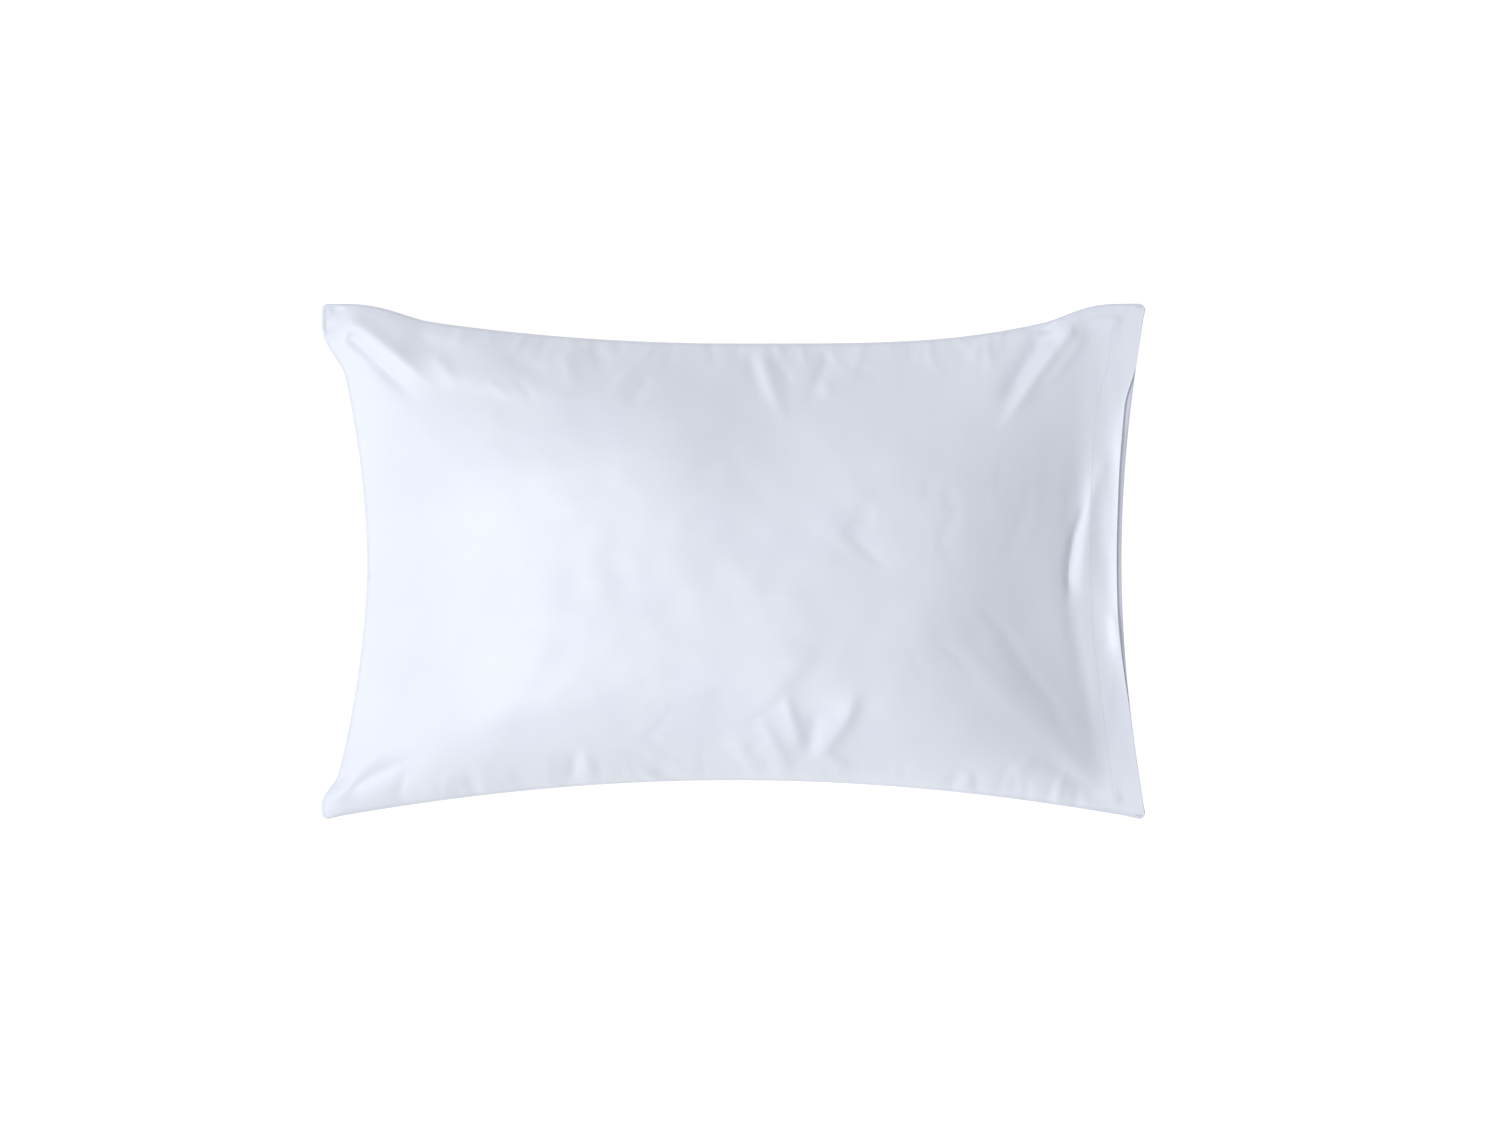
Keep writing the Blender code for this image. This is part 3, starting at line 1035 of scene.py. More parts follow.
@dataclass
class FilledCase:
    """The case's surface as the filling holds it: its form, how the cloth settled, and its folds."""

    form: CaseForm
    front_relief: np.ndarray
    back_relief: np.ndarray
    front_folds: tuple[Fold, ...]
    back_folds: tuple[Fold, ...]

    def settled(self, relief: np.ndarray, s: np.ndarray, t: np.ndarray) -> np.ndarray:
        """How far the cloth run moved each place, less over the doubled cloth, and nothing at the seams.

        Args:
            relief: The moves, on an even grid over the case.
            s: Flat coordinates along the case.
            t: Flat coordinates across it.

        Returns:
            A vector for each place.
        """
        held = smoothstep(np.minimum(self.form.inset(s, t), self.form.half_length - s) / (22 * MM))
        held = held * (1 - 0.6 * smoothstep((s / self.form.half_length - 0.35) / 0.4))
        return sample_cubic(relief, s / self.form.half_length, t / self.form.half_width) * held[..., None]

    def puckers(self, s: np.ndarray, t: np.ndarray) -> np.ndarray:
        """Ripples the seams draw up across themselves: three waves along the seam, fading inwards.

        Args:
            s: Flat coordinates along the case.
            t: Flat coordinates across it.

        Returns:
            The height of the ripples.
        """
        ripple = np.zeros_like(s)
        sides = (self.form.half_width - np.abs(t), s + 0.4 * np.sign(t))
        end = (self.form.half_length + s, t)
        for inset, along in (sides, end):
            place = along / MM
            wave = np.sin(place / 2.1) + np.sin(place / 3.7 + 1.3) + 0.8 * np.sin(place / 1.37 + 4.0)
            strength = 0.6 + 0.4 * np.sin(place / 23 + 0.7)
            ripple = ripple + wave * strength * np.exp(-inset / (9 * MM)) * smoothstep(inset / (4 * MM))
        return 0.16 * MM * ripple

    def front(self, s: np.ndarray, t: np.ndarray) -> np.ndarray:
        """The points of the front panel's outer face.

        Args:
            s: Flat coordinates along the case.
            t: Flat coordinates across it.

        Returns:
            The points.
        """
        x, y = self.form.plan(s, t)
        z = self.form.seam_height + self.form.front_height(s, t) + self.puckers(s, t)
        held = smoothstep(self.form.inset(s, t) / (4 * MM))
        for fold in self.front_folds:
            z = z + fold.relief(x, y) * held
        points = np.stack([x, y, z], axis=-1) + self.settled(self.front_relief, s, t)
        least = self.form.seam_height + self.room_over_rim(s, t)
        points[..., 2] = least + soft_floor(points[..., 2] - least, 0.5 * MM)
        return points

    def room_over_rim(self, s: np.ndarray, t: np.ndarray) -> np.ndarray:
        """The height the front keeps over the pillow's piped rim, and over the flap towards the mouth.

        Args:
            s: Flat coordinates along the case.
            t: Flat coordinates across it.

        Returns:
            The least height above the seam plane.
        """
        inset, mouth = self.form.inset(s, t), self.form.half_length - s
        rim, flap = 3.4 * MM, 2.0 * MM
        layers = rim + flap * smoothstep((180 * MM - mouth) / (30 * MM))
        reached = smoothstep((inset - 5 * MM) / (8 * MM)) * smoothstep((mouth - 14 * MM) / (10 * MM))
        return layers * reached - 3 * MM * (1 - reached)

    def back(self, s: np.ndarray, t: np.ndarray) -> np.ndarray:
        """The points of the back panel's outer face, laid flat where it rests.

        Args:
            s: Flat coordinates along the case.
            t: Flat coordinates across it.

        Returns:
            The points.
        """
        x, y = self.form.plan(s, t)
        z = self.form.seam_height + self.form.back_height(s, t) - self.puckers(s, -t)
        held = smoothstep(self.form.inset(s, t) / (4 * MM))
        for fold in self.back_folds:
            z = z - fold.relief(x, y) * held
        points = np.stack([x, y, z], axis=-1) + self.settled(self.back_relief, s, t)
        most = self.form.seam_height - np.minimum(self.room_over_rim(s, t), 3 * MM)
        points[..., 2] = most - soft_floor(most - points[..., 2], 0.5 * MM)
        points[..., 2] = soft_floor(points[..., 2], 2.5 * MM)
        return points

    def under_front(self, s: np.ndarray, t: np.ndarray, depth: float) -> np.ndarray:
        """The points a depth below the front's outer face, square to it."""
        points = self.front(s, t)
        return points - surface_normals(points) * depth


# The folds of the front, from the corners round: top left, top right, the mouth, the lower right
# diagonal, the end, the lower left corner and the lower side. Ridges stand up, valleys are below 0.
FRONT_FOLDS = (
    Fold((-342, 214), (-304, 194), (-247, 139), 9.5, 5.8, 1.7, -0.2, (0.15, 0.5)),
    Fold((-340, 201), (-314, 180), (-268, 132), 6.0, -6.4, 1.6, 0.0, (0.12, 0.4)),
    Fold((-347, 224), (-352, 212), (-356, 196), 6.0, -3.0, 1.8, 0.0, (0.1, 0.3)),
    Fold((-282, 172), (-200, 142), (-60, 146), 16.0, 3.0, 1.9, 0.3, (0.3, 0.6)),
    Fold((-292, 200), (-262, 186), (-212, 178), 11.0, -4.5, 1.9, 0.0, (0.35, 0.5)),
    Fold((-262, 180), (-250, 168), (-238, 152), 6.0, 2.4, 1.8, 0.0, (0.3, 0.5)),
    Fold((-206, 186), (-180, 168), (-150, 158), 9.0, -3.2, 1.8, 0.0, (0.4, 0.5)),
    Fold((-190, 160), (-180, 152), (-170, 136), 3.0, -1.4, 1.6, 0.0),
    Fold((-216, 158), (-204, 150), (-188, 138), 3.2, 1.2, 1.6, 0.0),
    Fold((-148, 186), (-144, 168), (-134, 144), 6.5, 2.6, 1.8, 0.2, (0.2, 0.6)),
    Fold((-130, 188), (-120, 178), (-100, 172), 8.0, -3.2, 1.8, 0.0),
    Fold((-69, 160), (-78, 150), (-93, 132), 6.0, -2.2, 1.7, 0.0),
    Fold((-84, 172), (-96, 158), (-108, 138), 5.5, 1.8, 1.7, 0.0),
    Fold((22, 186), (30, 150), (50, 106), 6.0, 3.6, 1.6, 0.3, (0.2, 0.6)),
    Fold((12, 188), (16, 164), (28, 132), 5.5, -2.6, 1.6, 0.0, (0.2, 0.6)),
    Fold((36, 186), (44, 165), (52, 150), 5.0, -2.4, 1.6, 0.0),
    Fold((84, 186), (76, 160), (58, 122), 6.5, -3.0, 1.6, 0.2, (0.2, 0.6)),
    Fold((78, 160), (80, 150), (84, 140), 5.0, 2.0, 1.6, 0.0),
    Fold((306, 214), (262, 166), (228, 108), 6.5, 6.0, 1.5, 0.3, (0.12, 0.4)),
    Fold((310, 200), (290, 172), (262, 140), 4.5, 1.8, 1.5, 0.0, (0.2, 0.5)),
    Fold((280, 208), (252, 168), (228, 126), 8.5, -6.0, 1.7, 0.0, (0.12, 0.4)),
    Fold((298, 213), (299, 206), (301, 198), 3.5, -2.4, 1.7, 0.0),
    Fold((218, 196), (214, 184), (206, 170), 5.0, 2.0, 1.7, 0.0, (0.2, 0.5)),
    Fold((312, 60), (278, -6), (297, -40), 4.2, -4.6, 1.6, 0.3, (0.4, 0.35)),
    Fold((324, 92), (301, 32), (304, -36), 12.0, 2.4, 1.8, 0.6, (0.3, 0.35)),
    Fold((354, 146), (326, 26), (344, -126), 13.5, 5.5, 2.0, 0.0, (0.2, 0.25)),
    Fold((328, 100), (316, 70), (306, 30), 8.0, 1.6, 1.8, 0.0),
    Fold((330, -38), (334, -62), (340, -90), 6.0, 1.8, 1.7, 0.0),
    Fold((200, -72), (262, -140), (340, -206), 22.0, 4.0, 2.0, 0.25, (0.3, 0.3)),
    Fold((262, -164), (292, -186), (330, -214), 8.0, -2.6, 1.7, 0.0, (0.4, 0.3)),
    Fold((238, -186), (252, -176), (264, -172), 5.0, 1.8, 1.7, 0.0),
    Fold((-322, -14), (-302, -8), (-280, 6), 5.0, -2.6, 1.6, 0.0, (0.1, 0.5)),
    Fold((-318, 26), (-300, 24), (-284, 14), 5.0, 1.8, 1.6, 0.0, (0.2, 0.5)),
    Fold((-356, -216), (-322, -180), (-288, -140), 7.0, 3.6, 1.6, 0.0, (0.15, 0.5)),
    Fold((-354, -206), (-330, -172), (-308, -140), 5.0, -3.0, 1.6, 0.0, (0.15, 0.5)),
    Fold((-342, -204), (-306, -180), (-262, -164), 5.0, -2.8, 1.6, 0.0, (0.2, 0.5)),
    Fold((-225, -208), (-224, -196), (-222, -182), 5.0, -2.4, 1.7, 0.0, (0.1, 0.5)),
    Fold((-148, -200), (-138, -182), (-132, -156), 5.5, -4.2, 1.4, 0.3, (0.1, 0.5)),
    Fold((-124, -198), (-124, -182), (-128, -154), 5.5, 4.4, 1.3, 0.3, (0.1, 0.5)),
    Fold((-40, -198), (-60, -180), (-96, -158), 6.0, -3.6, 1.4, 0.3, (0.15, 0.5)),
    Fold((-62, -198), (-72, -184), (-92, -172), 4.5, 3.0, 1.4, 0.3, (0.15, 0.5)),
    Fold((42, -106), (50, -134), (60, -164), 9.5, 5.0, 1.45, -0.4, (0.45, 0.25)),
    Fold((106, -100), (104, -140), (70, -168), 10.5, 5.5, 1.45, -0.4, (0.45, 0.2)),
    Fold((20, -128), (36, -158), (52, -186), 9.0, 4.5, 1.45, -0.4, (0.4, 0.2)),
    Fold((70, -124), (70, -144), (66, -168), 6.0, -3.0, 1.5, 0.0, (0.4, 0.3)),
    Fold((12, -148), (44, -100), (84, -56), 14.0, 2.2, 1.8, 0.4, (0.3, 0.6)),
    Fold((-6, -146), (14, -164), (30, -188), 9.0, 3.2, 1.6, -0.3, (0.4, 0.3)),
    Fold((64, -158), (86, -166), (104, -184), 8.0, 3.6, 1.5, -0.4, (0.3, 0.3)),
    Fold((-2, -176), (-1, -184), (0, -194), 3.0, -2.4, 1.5, 0.0, (0.4, 0.1)),
    Fold((188, -200), (192, -190), (198, -180), 4.0, -2.2, 1.7, 0.0, (0.1, 0.5)),
    Fold((198, -202), (203, -190), (208, -178), 4.0, 2.4, 1.7, 0.0, (0.1, 0.5)),
)


@dataclass(frozen=True)
class Gathers:
    """Short puckers that a sewn side draws into the cloth, running in from it at odd spacings."""

    side: int
    low: float
    high: float
    spacing: float
    reach: tuple[float, float]
    height: float
    seed: int

    def folds(self, form: CaseForm) -> tuple[Fold, ...]:
        """Makes the puckers, alternately up and down, each starting at the side's own curve.

        Args:
            form: The case's form, whose side they start from.

        Returns:
            The puckers as folds.
        """
        chance = np.random.default_rng(self.seed)
        made = []
        place = self.low
        while place < self.high:
            length = chance.uniform(*self.reach)
            slant = chance.normal(0, 0.35) * length
            edge_y = form.plan(np.array(place * MM), np.array(self.side * form.half_width))[1] / MM
            inward = -self.side * length
            start = (place, float(edge_y))
            end = (place + slant, start[1] + inward)
            bend = (place + slant * chance.uniform(-0.4, 0.6), start[1] + inward * 0.5)
            height = self.height * chance.uniform(0.4, 1.0) * (1 if chance.random() < 0.5 else -1)
            lean = chance.uniform(-0.45, 0.45)
            made.append(Fold(start, bend, end, chance.uniform(2.6, 5.0), height, 1.4, lean, (0.1, 0.7)))
            place += self.spacing * chance.uniform(0.5, 1.6)
        return tuple(made)


GATHERS = (
    Gathers(-1, -300, 300, 15, (16, 44), 3.2, 21),
    Gathers(1, -240, 290, 20, (16, 46), 2.6, 22),
)

# The back shows only the folds that the seams and the mouth draw into it.
BACK_FOLDS = (
    Fold((-350, 214), (-310, 176), (-262, 140), 8.0, 4.5, 1.6, 0.2, (0.2, 0.5)),
    Fold((-352, -212), (-306, -178), (-256, -150), 8.0, 4.5, 1.6, 0.2, (0.2, 0.5)),
    Fold((350, 212), (306, 172), (262, 136), 8.0, 5.0, 1.6, 0.2, (0.2, 0.5)),
    Fold((350, -212), (300, -176), (250, -142), 8.0, 5.0, 1.6, -0.2, (0.2, 0.5)),
    Fold((-60, 192), (-70, 172), (-96, 150), 6.0, 3.0, 1.6, 0.0, (0.2, 0.5)),
    Fold((90, 190), (100, 170), (128, 148), 6.0, 3.0, 1.6, 0.0, (0.2, 0.5)),
    Fold((30, -190), (40, -170), (30, -146), 6.0, 3.0, 1.6, 0.0, (0.2, 0.5)),
    Fold((-150, -194), (-140, -172), (-160, -150), 6.0, 3.0, 1.6, 0.0, (0.2, 0.5)),
    Fold((330, 60), (300, 50), (262, 56), 7.0, 3.0, 1.6, 0.0, (0.2, 0.5)),
    Fold((328, -50), (300, -56), (268, -44), 7.0, 3.0, 1.6, 0.0, (0.2, 0.5)),
)


# The ticking's own folds: from its four corners, and short ones its seams draw up. The bottom
# wears them too, turned over across the pillow.
INSERT_FOLDS = (
    Fold((-334, 204), (-290, 168), (-226, 128), 11.0, 4.0, 1.6, 0.2, (0.15, 0.6)),
    Fold((-336, 190), (-308, 160), (-270, 118), 7.0, -3.0, 1.6, 0.0, (0.15, 0.6)),
    Fold((-334, -204), (-296, -164), (-240, -120), 11.0, 4.0, 1.6, -0.2, (0.15, 0.6)),
    Fold((-320, -206), (-282, -176), (-236, -160), 7.0, -3.0, 1.6, 0.0, (0.15, 0.6)),
    Fold((322, 206), (280, 168), (214, 122), 11.0, 4.0, 1.6, 0.2, (0.15, 0.6)),
    Fold((308, 206), (262, 176), (218, 162), 7.0, -3.0, 1.6, 0.0, (0.15, 0.6)),
    Fold((322, -206), (284, -162), (226, -118), 11.0, 4.0, 1.6, -0.2, (0.15, 0.6)),
    Fold((324, -190), (300, -156), (262, -112), 7.0, -3.0, 1.6, 0.0, (0.15, 0.6)),
    Fold((-120, 186), (-112, 156), (-128, 120), 8.0, 3.0, 1.6, 0.2, (0.15, 0.7)),
    Fold((-20, 182), (-30, 150), (-22, 120), 8.0, -2.6, 1.6, 0.2, (0.15, 0.7)),
    Fold((96, 184), (104, 150), (86, 116), 8.0, 3.2, 1.6, 0.2, (0.15, 0.7)),
    Fold((-160, -186), (-148, -156), (-166, -124), 8.0, -2.6, 1.6, 0.2, (0.15, 0.7)),
    Fold((-40, -184), (-52, -156), (-38, -122), 8.0, 3.0, 1.6, 0.2, (0.15, 0.7)),
    Fold((80, -184), (90, -150), (76, -120), 8.0, 3.0, 1.6, 0.2, (0.15, 0.7)),
    Fold((-300, 40), (-268, 30), (-226, 44), 8.0, 2.6, 1.6, 0.2, (0.15, 0.7)),
    Fold((-300, -60), (-262, -52), (-230, -64), 8.0, -2.4, 1.6, 0.2, (0.15, 0.7)),
    Fold((296, 70), (262, 60), (222, 66), 8.0, 2.6, 1.6, 0.2, (0.15, 0.7)),
    Fold((296, -62), (258, -54), (226, -66), 8.0, 2.6, 1.6, 0.2, (0.15, 0.7)),
)


# ---------------------------------------------------------------------------------------------
# The pieces
# ---------------------------------------------------------------------------------------------


@cache
def material_of(finish: Finish) -> bpy.types.Material:
    """A finish's material, made once however many pieces wear it."""
    return finish.material()


@dataclass(frozen=True)
class Part:
    """What a piece stands for: the CAD node it replaces, its body, its finish and its material slot."""

    node: str
    body: str
    finish: Finish
    slot: str

    def dress(self, piece: bpy.types.Object) -> bpy.types.Object:
        """Gives a piece its finish, puts it on its body and logs it.

        Args:
            piece: The piece.

        Returns:
            The same piece.
        """
        piece.data.materials.append(material_of(self.finish))
        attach(piece, self.body)
        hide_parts(self.node)
        LOG.info("%s stands for %s: %d faces", piece.name, self.node, len(piece.data.polygons))
        return piece


@dataclass
class Pillowcase:
    """The pillowcase: two panels, the mouth's hem, the flap behind it, its seams, stitching and label.

    The front ends a little short of the back's fold at the mouth, and the gap shows the flap.
    """

    surface: FilledCase
    cell: float = 3.4 * MM
    edge_cell: float = 0.35 * MM
    cotton: float = 0.6 * MM
    hem_depth: float = 28 * MM
    stitch_inset: float = 26 * MM
    flap_depth: float = 150 * MM
    flap_hem_depth: float = 10 * MM
    allowance: float = 6 * MM
    lining_inset: float = 9 * MM
    flap_inset: float = 12 * MM
    thread_radius: float = 0.22 * MM
    stitch_length: float = 3 * MM
    take_up: tuple[float, float] = (27 * MM, 16 * MM)

    def build(self) -> list[bpy.types.Object]:
        """Makes all twelve pieces and returns them.

        Returns:
            The pieces.
        """
        front, back = self.front_panel(), self.back_panel()
        hem, flap, flap_hem = self.mouth_hem(), self.tuck_flap(), self.flap_hem()
        sewn = [*self.seams(), self.hem_stitches(), *self.tacks(), self.care_label()]
        made = [front, back, hem, flap, flap_hem, *sewn]
        for piece in made:
            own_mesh(piece)
        return made

    def part(self, node: str, finish: Finish = SATEEN, slot: str = "cotton_sateen") -> Part:
        """A part of the case."""
        return Part(node, "case", finish, slot)

    def setback(self, t: np.ndarray) -> np.ndarray:
        """How far the front's hem lies short of the back's fold: widest in the upper half.

        Args:
            t: Flat coordinates across the case.

        Returns:
            The distances.
        """
        b = t / self.surface.form.half_width
        open_part = smoothstep((b + 0.62) / 0.42) * smoothstep((0.77 - b) / 0.17)
        return (0.7 + (4.5 + 1.1 * smoothstep((b - 0.1) / 0.4)) * open_part) * MM

    def mouth_lift(self, t: np.ndarray) -> np.ndarray:
        """How far the front's hem stands off the flap where the mouth gapes."""
        b = t / self.surface.form.half_width
        return 1.2 * MM * smoothstep((b + 0.6) / 0.3) * smoothstep((0.8 - b) / 0.2)

    def to_mouth(self, s: np.ndarray, t: np.ndarray) -> np.ndarray:
        """Moves the last stretch of s back so that it ends at the front's hem."""
        reach = 60 * MM
        return s - self.setback(t) * smoothstep((s - self.surface.form.half_length + reach) / reach)

    def under(self, s: np.ndarray, t: np.ndarray, depth: float) -> np.ndarray:
        """The points a depth below the front, with the mouth's hem turned up a little along its edge.

        Args:
            s: Flat coordinates along the case.
            t: Flat coordinates across it.
            depth: How far below the outer face, 0 for the face itself.

        Returns:
            The points.
        """
        points = self.surface.front(s, t)
        inset = self.surface.form.half_length - self.setback(t) - s
        points[..., 2] += self.mouth_lift(t) * np.exp(-np.clip(inset, 0, None) / (4 * MM))
        return points - surface_normals(points) * depth if depth else points

    def grid(self, s_range: tuple[float, float], side: float, cell: float, first: float) -> Grids:
        """A grid of flat coordinates, -side..side across, with lines close together at its rim."""
        along, across = graded_lines(*s_range, cell, first), graded_lines(-side, side, cell, first)
        return np.meshgrid(along, across, indexing="ij")

    def whole(self) -> Grids:
        """The grid of a whole panel."""
        form = self.surface.form
        return self.grid((-form.half_length, form.half_length), form.half_width, self.cell, self.edge_cell)

    def front_panel(self) -> bpy.types.Object:
        """The front, from seam to seam and up to the mouth's hem.

        Returns:
            The piece.
        """
        s, t = self.whole()
        s = self.to_mouth(s, t)
        edge = self.surface.form.inset(s, t)
        piece = cloth_slab("front_panel_cloth", self.under(s, t, 0), self.cotton, 1, (s, t), edge)
        return self.part("case_front_panel").dress(piece)

    def back_panel(self) -> bpy.types.Object:
        """The back, from seam to seam and up to the mouth's fold.

        Returns:
            The piece.
        """
        form = self.surface.form
        s, t = self.whole()
        edge = np.minimum(form.inset(s, t), form.half_length - s)
        piece = cloth_slab("back_panel_cloth", self.surface.back(s, t), self.cotton, -1, (s, t), edge)
        return self.part("case_back_panel").dress(piece)

    def mouth_hem(self) -> bpy.types.Object:
        """The front's hem, turned under along the mouth.

        Returns:
            The piece.
        """
        end = self.surface.form.half_length
        side = self.surface.form.half_width - self.lining_inset
        s, t = self.grid((end - self.hem_depth, end - 0.1 * MM), side, 3 * MM, 0.6 * MM)
        s = self.to_mouth(s, t)
        outer = self.under(s, t, self.cotton + 0.12 * MM)
        piece = cloth_slab("mouth_hem_cloth", outer, self.cotton, 1, (s, t), np.abs(end - s))
        return self.part("case_mouth_hem").dress(piece)

    def tuck_flap(self) -> bpy.types.Object:
        """The flap: the back's cloth folded over at the mouth and lying on the pillow, behind the front.

        Past the fold it climbs at a steady slope until it meets the front, and lies under it from there.

        Returns:
            The piece.
        """
        form = self.surface.form
        side = form.half_width - self.flap_inset
        ends = (form.half_length - self.flap_depth, form.half_length)
        s, t = self.grid(ends, side, self.cell, self.edge_cell)
        inset = form.half_length - s
        lying = self.surface.under_front(s, t, 2 * self.cotton + 0.5 * MM)
        x, y = form.plan(s, t)
        climb = form.seam_height + form.mouth_rise(t) + form.roll(inset) + 0.45 * inset
        share = smoothstep((inset - 4 * MM) / (16 * MM))
        low = soft_minimum(climb, lying[..., 2], 0.8 * MM)
        x, y = x + share * (lying[..., 0] - x), y + share * (lying[..., 1] - y)
        outer = np.stack([x, y, low + share * (lying[..., 2] - low)], axis=-1)
        piece = cloth_slab("tuck_flap_cloth", outer, self.cotton, 1, (s, t), inset)
        return self.part("case_tuck_flap").dress(piece)

    def flap_hem(self) -> bpy.types.Object:
        """The flap's narrow hem, turned under along its free edge.

        Returns:
            The piece.
        """
        form = self.surface.form
        low = form.half_length - self.flap_depth
        side = form.half_width - self.flap_inset - self.lining_inset
        s, t = self.grid((low + 0.3 * MM, low + self.flap_hem_depth), side, 3 * MM, 0.6 * MM)
        outer = self.surface.under_front(s, t, 3 * self.cotton + 0.75 * MM)
        piece = cloth_slab("tuck_flap_hem_cloth", outer, self.cotton, 1, (s, t), s - low)
        return self.part("case_tuck_flap_hem").dress(piece)

    def seams(self) -> list[bpy.types.Object]:
        """The three seams' allowances: narrow folded strips between the panels, on the seam plane.

        Returns:
            The top, the bottom and the end strip.
        """
        form = self.surface.form
        near, far = 1.0 * MM, self.allowance
        length, width = form.half_length, form.half_width
        reach = (-length + near, length - 7 * MM)
        strips = {
            "top": (reach, (width - far, width - near)),
            "bottom": (reach, (-width + near, -width + far)),
            "end": ((-length + near, -length + far), (-width + far + near, width - far - near)),
        }
        made = []
        for name, ranges in strips.items():
            s, t = np.meshgrid(*(graded_lines(*ends, 3 * MM, 0.8 * MM) for ends in ranges), indexing="ij")
            x, y = form.plan(s, t)
            level = form.seam_height + 0.4 * MM + 0.12 * MM * np.sin((s + t) / MM / 3.1)
            outer = np.stack([x, y, level], axis=-1)
            piece = cloth_slab(f"{name}_seam_allowance", outer, 0.8 * MM, 1, (s, t), form.inset(s, t))
            made.append(self.part(f"case_{name}_seam").dress(piece))
        return made

    def stitches(self, name: str, s: np.ndarray, t: np.ndarray, share: float) -> bpy.types.Object:
        """Stitches along a line on the front.

        Args:
            name: The piece's name.
            s: The holes' flat coordinates along the case.
            t: Their flat coordinates across it.
            share: How much of the way to the next hole each stitch covers.

        Returns:
            The stitches in one mesh.
        """
        nudge, sunk, bow = 0.05 * MM, 0.1 * MM, 0.3 * MM
        here, right, along = self.under(s, t, 0), self.under(s, t + nudge, 0), self.under(s + nudge, t, 0)
        normal = unit(np.cross(along - here, right - here))[:-1]
        starts = here[:-1] - normal * sunk
        ends = (here[:-1] + (here[1:] - here[:-1]) * share) - normal * sunk
        return stitch_row(name, starts, ends, normal * bow, self.thread_radius)

    def hem_stitches(self) -> bpy.types.Object:
        """The row of lockstitch that holds the mouth's hem.

        Returns:
            The piece.
        """
        form = self.surface.form
        side = form.half_width - 1.4 * self.lining_inset
        t = np.arange(-side, side, self.stitch_length)
        s = self.to_mouth(np.full_like(t, form.half_length), t) - self.stitch_inset
        piece = self.stitches("mouth_hem_stitching", s, t, 0.78)
        return self.part("case_mouth_stitching", SEWING_THREAD, "sewing_thread").dress(piece)

    def tacks(self) -> list[bpy.types.Object]:
        """A bar tack across each end of the mouth: a dense zigzag over the seam.

        Returns:
            The top one and the bottom one.
        """
        form = self.surface.form
        turns = np.arange(26)
        across = np.where(turns % 2, 1.9 * MM, 4.1 * MM)
        s = form.half_length - 2.2 * MM - turns * 0.28 * MM
        made = []
        for name, side in (("top", 1), ("bottom", -1)):
            piece = self.stitches(f"mouth_{name}_bar_tack", s, side * (form.half_width - across), 0.97)
            made.append(self.part(f"case_{name}_mouth_tack", SEWING_THREAD, "sewing_thread").dress(piece))
        return made

    def care_label(self) -> bpy.types.Object:
        """A blank satin label, caught in the end seam and lying on the back's inside.

        Returns:
            The piece.
        """
        start = -self.surface.form.half_length + self.lining_inset
        s, t = self.grid((start, start + 38 * MM), 15 * MM, 1.5 * MM, 0.5 * MM)
        points = self.surface.back(s, t)
        outer = points + surface_normals(points) * (self.cotton + 0.75 * MM)
        piece = cloth_slab("care_label_ribbon", outer, 0.4 * MM, 1, (s, t), s - start)
        return self.part("case_care_label", RIBBON, "label_satin").dress(piece)


